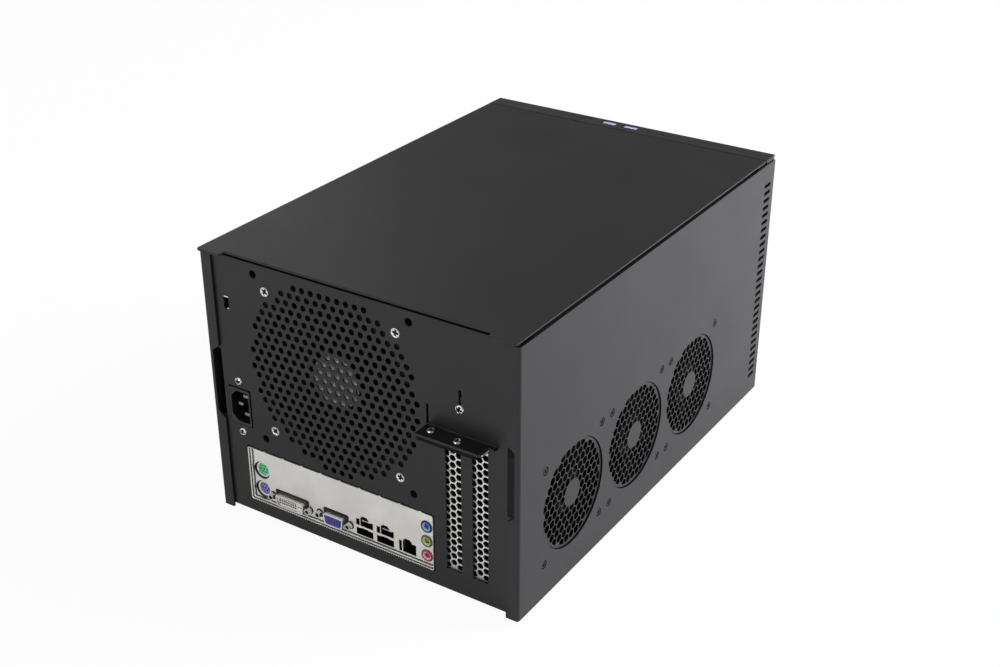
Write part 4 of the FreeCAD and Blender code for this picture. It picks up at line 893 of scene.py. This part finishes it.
# painted shade in a screw's cross: a quarter of its outline turned four times about the centre, as a thin
# near black plate
def paintedCrossShade(spec, form, centre, turn):
    arm, wide = (share * spec["radius"] for share in form["crossShade"])
    quarter = np.array([(arm, -wide), (arm, wide), (wide, wide)])
    outline = [quarter @ np.array([(np.cos(angle), np.sin(angle)), (-np.sin(angle), np.cos(angle))])
               for angle in turn + np.arange(4) * np.pi / 2]
    rise = spec["rise"] * (1 - form["crossShadeDome"] * spec["dome"]) - form["crossShadeSink"]
    top = spec["foot"] + spec["face"] * rise
    depth = sorted((top, top - spec["face"] * form["crossShadeSheet"]))
    return plate(np.vstack(outline) + centre, *depth)


for name, view, kinds, finish, body in (("rear", rearView, ("fan", "inlet", "clamp"), screwNickel, "case"),
                                        ("ledge", topView, ("ledge",), screwNickel, "case"),
                                        ("side", sideView, ("side",), screwBlack, "fan_side_panel")):
    heads = [(screws[kind], screwForm, place, turn) for kind in kinds
             for place, turn in zip(screws[kind]["places"], screws[kind]["turns"])]
    addPiece(name + "Screws", view, [screwHead(*head) for head in heads], finish, body, sharp=60)
    addPiece(name + "ScrewCrossShade", view, [paintedCrossShade(*head) for head in heads], socketBlackAndShade, body)
print("screws made")


# fan rotors: domed hub and seven swept blades; chord and fall are a value at the hub and its drop to the tip
fanSizes = {"large": {"hub": 20.5, "tip": 54.5}, "small": {"hub": 15.6, "tip": 35.0}}
fanForm = {"depth": (2.7, 20.6), "blades": 7, "rows": 7, "loop": 18, "root": 1.5, "thick": 0.6, "sweep": 0.35,
           "chord": (0.74, 0.06), "fall": (0.78, 0.14), "camber": 1.2, "foil": 0.12, "foilEdge": (1.9, 1.8),
           "ease": ((1.6, 0.0), (0.6, 0.3), (0.0, 1.3))}


# blade: a thin lens section carried from hub to tip, swept back and laid flatter as the radius grows
def bladeShape(size, form, centre, face, start):
    rows, count = form["rows"], form["loop"]
    reach = np.linspace(size["hub"] - form["root"], size["tip"], rows)[:, None]
    loop = np.linspace(0, 2 * np.pi, count, endpoint=False)[None, :]
    chord = np.cos(loop) / 2
    share = (reach - size["hub"]) / (size["tip"] - size["hub"])
    angle = start + form["sweep"] * share + chord * (form["chord"][0] - form["chord"][1] * share)
    low, high = form["depth"]
    fall = (high - low) * (form["fall"][0] - form["fall"][1] * share)
    middle = face + (low + high) / 2
    depth = middle + chord * fall + form["camber"] * (1 - 4 * chord ** 2) + np.sin(loop) * form["thick"]
    points = np.stack([centre[0] + reach * np.cos(angle), centre[1] + reach * np.sin(angle), depth], axis=-1)
    ends = [list(range(count)), list(range((rows - 1) * count, rows * count))]
    return points.reshape(-1, 3), gridFaces(rows, count, True) + ends


def makeRotor(size, form, name, node, view, centre, face, turn, foil):
    low, high = (face + depth for depth in form["depth"])
    hub = size["hub"]
    cup = [(0, low), *[(hub - inset, low + rise) for inset, rise in form["ease"]], (hub, high), (0, high)]
    starts = turn + np.arange(form["blades"]) * 2 * np.pi / form["blades"]
    blades = [bladeShape(size, form, centre, face, start) for start in starts]
    addPiece(name + "Blades", view, [turned(cup, centre, 40), *blades], fanPlastic, node, [node], sharp=45)
    if foil:
        top = low - form["foil"]
        outer, inner = (hub - inset for inset in form["foilEdge"])
        disc = [(0, top), (outer, top), (inner, low), (0, low)]
        addPiece(name + "Foil", view, [turned(disc, centre, 40)], hubFoil, node)


makeRotor(fanSizes["large"], fanForm, "rearFan", "rear_fan_rotor", rearView, rearPanel["fan"],
          rearPanel["depth"][1], 0.2, True)
for index, w in enumerate(sidePanel["fans"]):
    makeRotor(fanSizes["small"], fanForm, "sideFan%d" % (index + 1), "side_fan_rotor_%d" % (index + 1),
              sideView, (w, sidePanel["fanUp"]), sidePanel["sheet"], 0.3 + index, False)
print("fans made")


# top strip: domed power button with its collar and stem, and round lenses, as profiles of radius and height
topStrip = {
    "button": (162.0, 357.0), "lights": ((105.0, 357.0), (93.0, 357.0)),
    "cap": ((0, 201.75), (2.4, 201.72), (3.4, 201.9), (3.9, 201.85), (4.2, 201.5), (4.2, 200.2), (5.1, 200.2),
            (5.1, 198.7), (2.0, 198.7), (2.0, 191.6), (0, 191.6)),
    "lens": ((0, 201.95), (0.7, 201.9), (1.15, 201.6), (1.25, 201.2), (1.25, 187.6), (0, 187.6)),
}
cap = turned(topStrip["cap"], topStrip["button"], 40)
addPiece("powerButtonCap", topView, [cap], frontPlastic, "power_button", ["power_button"])
lenses = [turned(topStrip["lens"], place, 20) for place in topStrip["lights"]]
addPiece("statusLenses", topView, lenses, lensTint, "case", ["status_lights"])

# tongues of the top sockets: pale blue blades that stand almost to the rim of their shells
topTongues = {"places": (141.5, 122.3), "wide": 11.0, "along": (357.2, 360.2), "corner": 0.4, "top": 201.45,
              "edge": 0.15}
foot = 1000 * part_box("top_usb_tongues")[0][2] - drawing["lift"]
blades = [plate(roundedBox(span(u, topTongues["wide"]), topTongues["along"], topTongues["corner"], 2),
                foot, topTongues["top"]) for u in topTongues["places"]]
addPiece("topSocketTongues", topView, blades, tongueBlue, "case", ["top_usb_tongues"],
         edge=topTongues["edge"])

# closing lips under the ends of the strip, where it meets the side panels
stripLips = {"inset": (0.9, 2.1), "up": (198.6, 200.5), "along": (350.5, 363.6)}
low, high = stripLips["inset"]
closers = [block(across, stripLips["up"], stripLips["along"])
           for across in ((low, high), (drawing["width"] - high, drawing["width"] - low))]
addPiece("frontStripLips", rearView, closers, frontPlastic, "case")

# feet: rubber pads with eased edges, each from its corner nearest the fan side and the rear
feet = {"across": (22.0, 212.0), "along": (22.0, 300.0), "size": 16.0, "corner": 2.5, "up": (-4.0, 2.7),
        "edge": 0.9}
pads = [plate(roundedBox((u, u + feet["size"]), (w, w + feet["size"]), feet["corner"]), *feet["up"])
        for u in feet["across"] for w in feet["along"]]
addPiece("rubberPads", topView, pads, footRubber, "case", ["rubber_feet"], edge=feet["edge"])

# finishes of the solids that keep their shape
solidFinishes = (
    (satinPaint, ("base_tray", "front_door")),
    (portNylon, ("ps2_housing", "audio_block", "card_socket", "bay_connectors")),
    (pinBrass, ("inlet_pins",)),
    (boardMask, ("main_board", "memory_modules", "front_io_board", "drive_backplane")),
    (screwNickel, ("board_standoffs", "door_pins", "top_usb_shells")),
    (drawnAluminium, ("processor_cooler",)),
    (zincSteel, ("door_magnet", "drive_cage", "power_supply")),
    (frontPlastic, ("front_frame", "tray_levers", *["drive_tray_%d" % number for number in range(1, 9)])),
    (fanPlastic, ("rear_fan_frame", *["side_fan_frame_%d" % number for number in range(1, 4)])),
)
for finish, nodes in solidFinishes:
    for node in nodes:
        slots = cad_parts[node].data.materials
        slots.clear()
        slots.append(finish)
print("solids finished")


# floor: a wide pale sheet that looks white to the camera and keeps a faint shadow
floorSpec = {"half": 30.0, "shade": "#f4f4f4", "seen": 0.95, "mirrored": 0.22}
floorMesh = bpy.data.meshes.new("studioFloor")
floorEnds = (-floorSpec["half"], floorSpec["half"])
floorCorners = np.column_stack([rectangle(floorEnds, floorEnds), np.zeros(4)])
floorMesh.from_pydata(floorCorners.tolist(), [], [(0, 1, 2, 3)])
floor = bpy.data.objects.new("studioFloor", floorMesh)
bpy.context.scene.collection.objects.link(floor)
floorPaper = bpy.data.materials.new("studioPaper")
floorPaper.use_nodes = True
tree = floorPaper.node_tree
tree.nodes.clear()
paper = addNode(tree, "ShaderNodeBsdfDiffuse", {"Color": linear(floorSpec["shade"])})
white = addNode(tree, "ShaderNodeEmission", {"Color": (1, 1, 1, 1), "Strength": 1.0})
path = addNode(tree, "ShaderNodeLightPath").outputs
mirrored = addNode(tree, "ShaderNodeMath", {1: floorSpec["mirrored"]}, {0: path["Is Glossy Ray"]},
                   operation="MULTIPLY")
share = addNode(tree, "ShaderNodeMath", {1: floorSpec["seen"]},
                {0: path["Is Camera Ray"], 2: mirrored.outputs["Value"]}, operation="MULTIPLY_ADD")
mixed = addNode(tree, "ShaderNodeMixShader",
                links={0: share.outputs["Value"], 1: paper.outputs["BSDF"], 2: white.outputs["Emission"]})
addNode(tree, "ShaderNodeOutputMaterial", links={"Surface": mixed.outputs["Shader"]})
floorMesh.materials.append(floorPaper)

# world: white behind the object, even light on it, and in reflections a dim ceiling with a pale panel
# above it
worldSpec = {"fill": 0.45, "bands": ((0.03, "#ffffff"), (0.16, "#60625d"), (0.32, "#353930"),
                                     (0.4, "#5c5f58"), (0.48, "#c0c0be"), (0.62, "#b8b8b8"))}
world = bpy.data.worlds.new("studio")
bpy.context.scene.world = world
world.use_nodes = True
tree = world.node_tree
tree.nodes.clear()
direction = addNode(tree, "ShaderNodeTexCoord").outputs["Generated"]
rise = addNode(tree, "ShaderNodeSeparateXYZ", links={"Vector": direction})
upper = addNode(tree, "ShaderNodeValToRGB", links={"Fac": rise.outputs["Z"]})
while len(upper.color_ramp.elements) < len(worldSpec["bands"]):
    upper.color_ramp.elements.new(0.5)
for stop, (height, shade) in zip(upper.color_ramp.elements, worldSpec["bands"]):
    stop.position = height
    stop.color = linear(shade)
path = addNode(tree, "ShaderNodeLightPath").outputs
plain = addNode(tree, "ShaderNodeBackground", {"Color": (1, 1, 1, 1), "Strength": worldSpec["fill"]})
mirror = addNode(tree, "ShaderNodeBackground", {"Strength": 1.0}, {"Color": upper.outputs["Color"]})
white = addNode(tree, "ShaderNodeBackground", {"Color": (1, 1, 1, 1), "Strength": 1.0})
glossy = addNode(tree, "ShaderNodeMath", links={0: path["Is Glossy Ray"], 1: path["Is Transmission Ray"]},
                 operation="MAXIMUM")
reflected = addNode(tree, "ShaderNodeMixShader", links={
    0: glossy.outputs["Value"], 1: plain.outputs["Background"], 2: mirror.outputs["Background"]})
final = addNode(tree, "ShaderNodeMixShader", links={
    0: path["Is Camera Ray"], 1: reflected.outputs["Shader"], 2: white.outputs["Background"]})
addNode(tree, "ShaderNodeOutputWorld", links={"Surface": final.outputs["Shader"]})


# an object's matrix has its right, up and back directions and its place as columns
def setPlace(thing, right, up, back, place):
    turn = np.eye(4)
    turn[:3] = np.column_stack([right, up, back, place])
    thing.matrix_world = Matrix(turn.tolist())


# lamps: a soft one over the floor at the fan side, kept out of reflections so that it leaves no glare on the
# top, a low weak one before the rear and a faint one mirrored in the top
lamps = {
    "sideSoft": {"place": (-1.3, -0.9, 1.1), "power": 48.0, "tint": "#fffaff", "mirrored": False},
    "rearFront": {"place": (0.5, 2.2, 0.45), "power": 17.0, "tint": "#ffffff", "mirrored": True},
    "topSheen": {"place": (1.9, -1.3, 1.25), "power": 2.4, "tint": "#ffffff", "mirrored": True},
}
lampForm = {"size": 1.2, "target": (0, 0, 0.1), "upright": (0, 1, 0.01)}
for name, spec in lamps.items():
    light = bpy.data.lights.new(name, "AREA")
    light.size = lampForm["size"]
    light.energy = spec["power"]
    light.color = linear(spec["tint"])[:3]
    lamp = bpy.data.objects.new(name, light)
    lamp.visible_glossy = spec["mirrored"]
    bpy.context.scene.collection.objects.link(lamp)
    back = np.subtract(spec["place"], lampForm["target"])
    back = back / np.linalg.norm(back)
    right = np.cross(lampForm["upright"], back)
    right = right / np.linalg.norm(right)
    setPlace(lamp, right, np.cross(back, right), back, spec["place"])

# camera at the photograph's place
view = {"lens": 52.8046, "sensor": 36.0, "clipEnd": 200.0, "place": (-0.5195873, 0.8073401, 0.6001541),
        "right": (-0.839437, -0.543456, 0.000768), "up": (0.251738, -0.387588, 0.886794),
        "back": (-0.481636, 0.744601, 0.462165)}
camera = bpy.data.cameras.new("photoCamera")
camera.lens = view["lens"]
camera.sensor_width = view["sensor"]
camera.clip_end = view["clipEnd"]
cameraObject = bpy.data.objects.new("photoCamera", camera)
bpy.context.scene.collection.objects.link(cameraObject)
setPlace(cameraObject, view["right"], view["up"], view["back"], view["place"])
bpy.context.scene.camera = cameraObject
bpy.context.scene.view_settings.view_transform = "Standard"
print("stage, lamps and camera set")
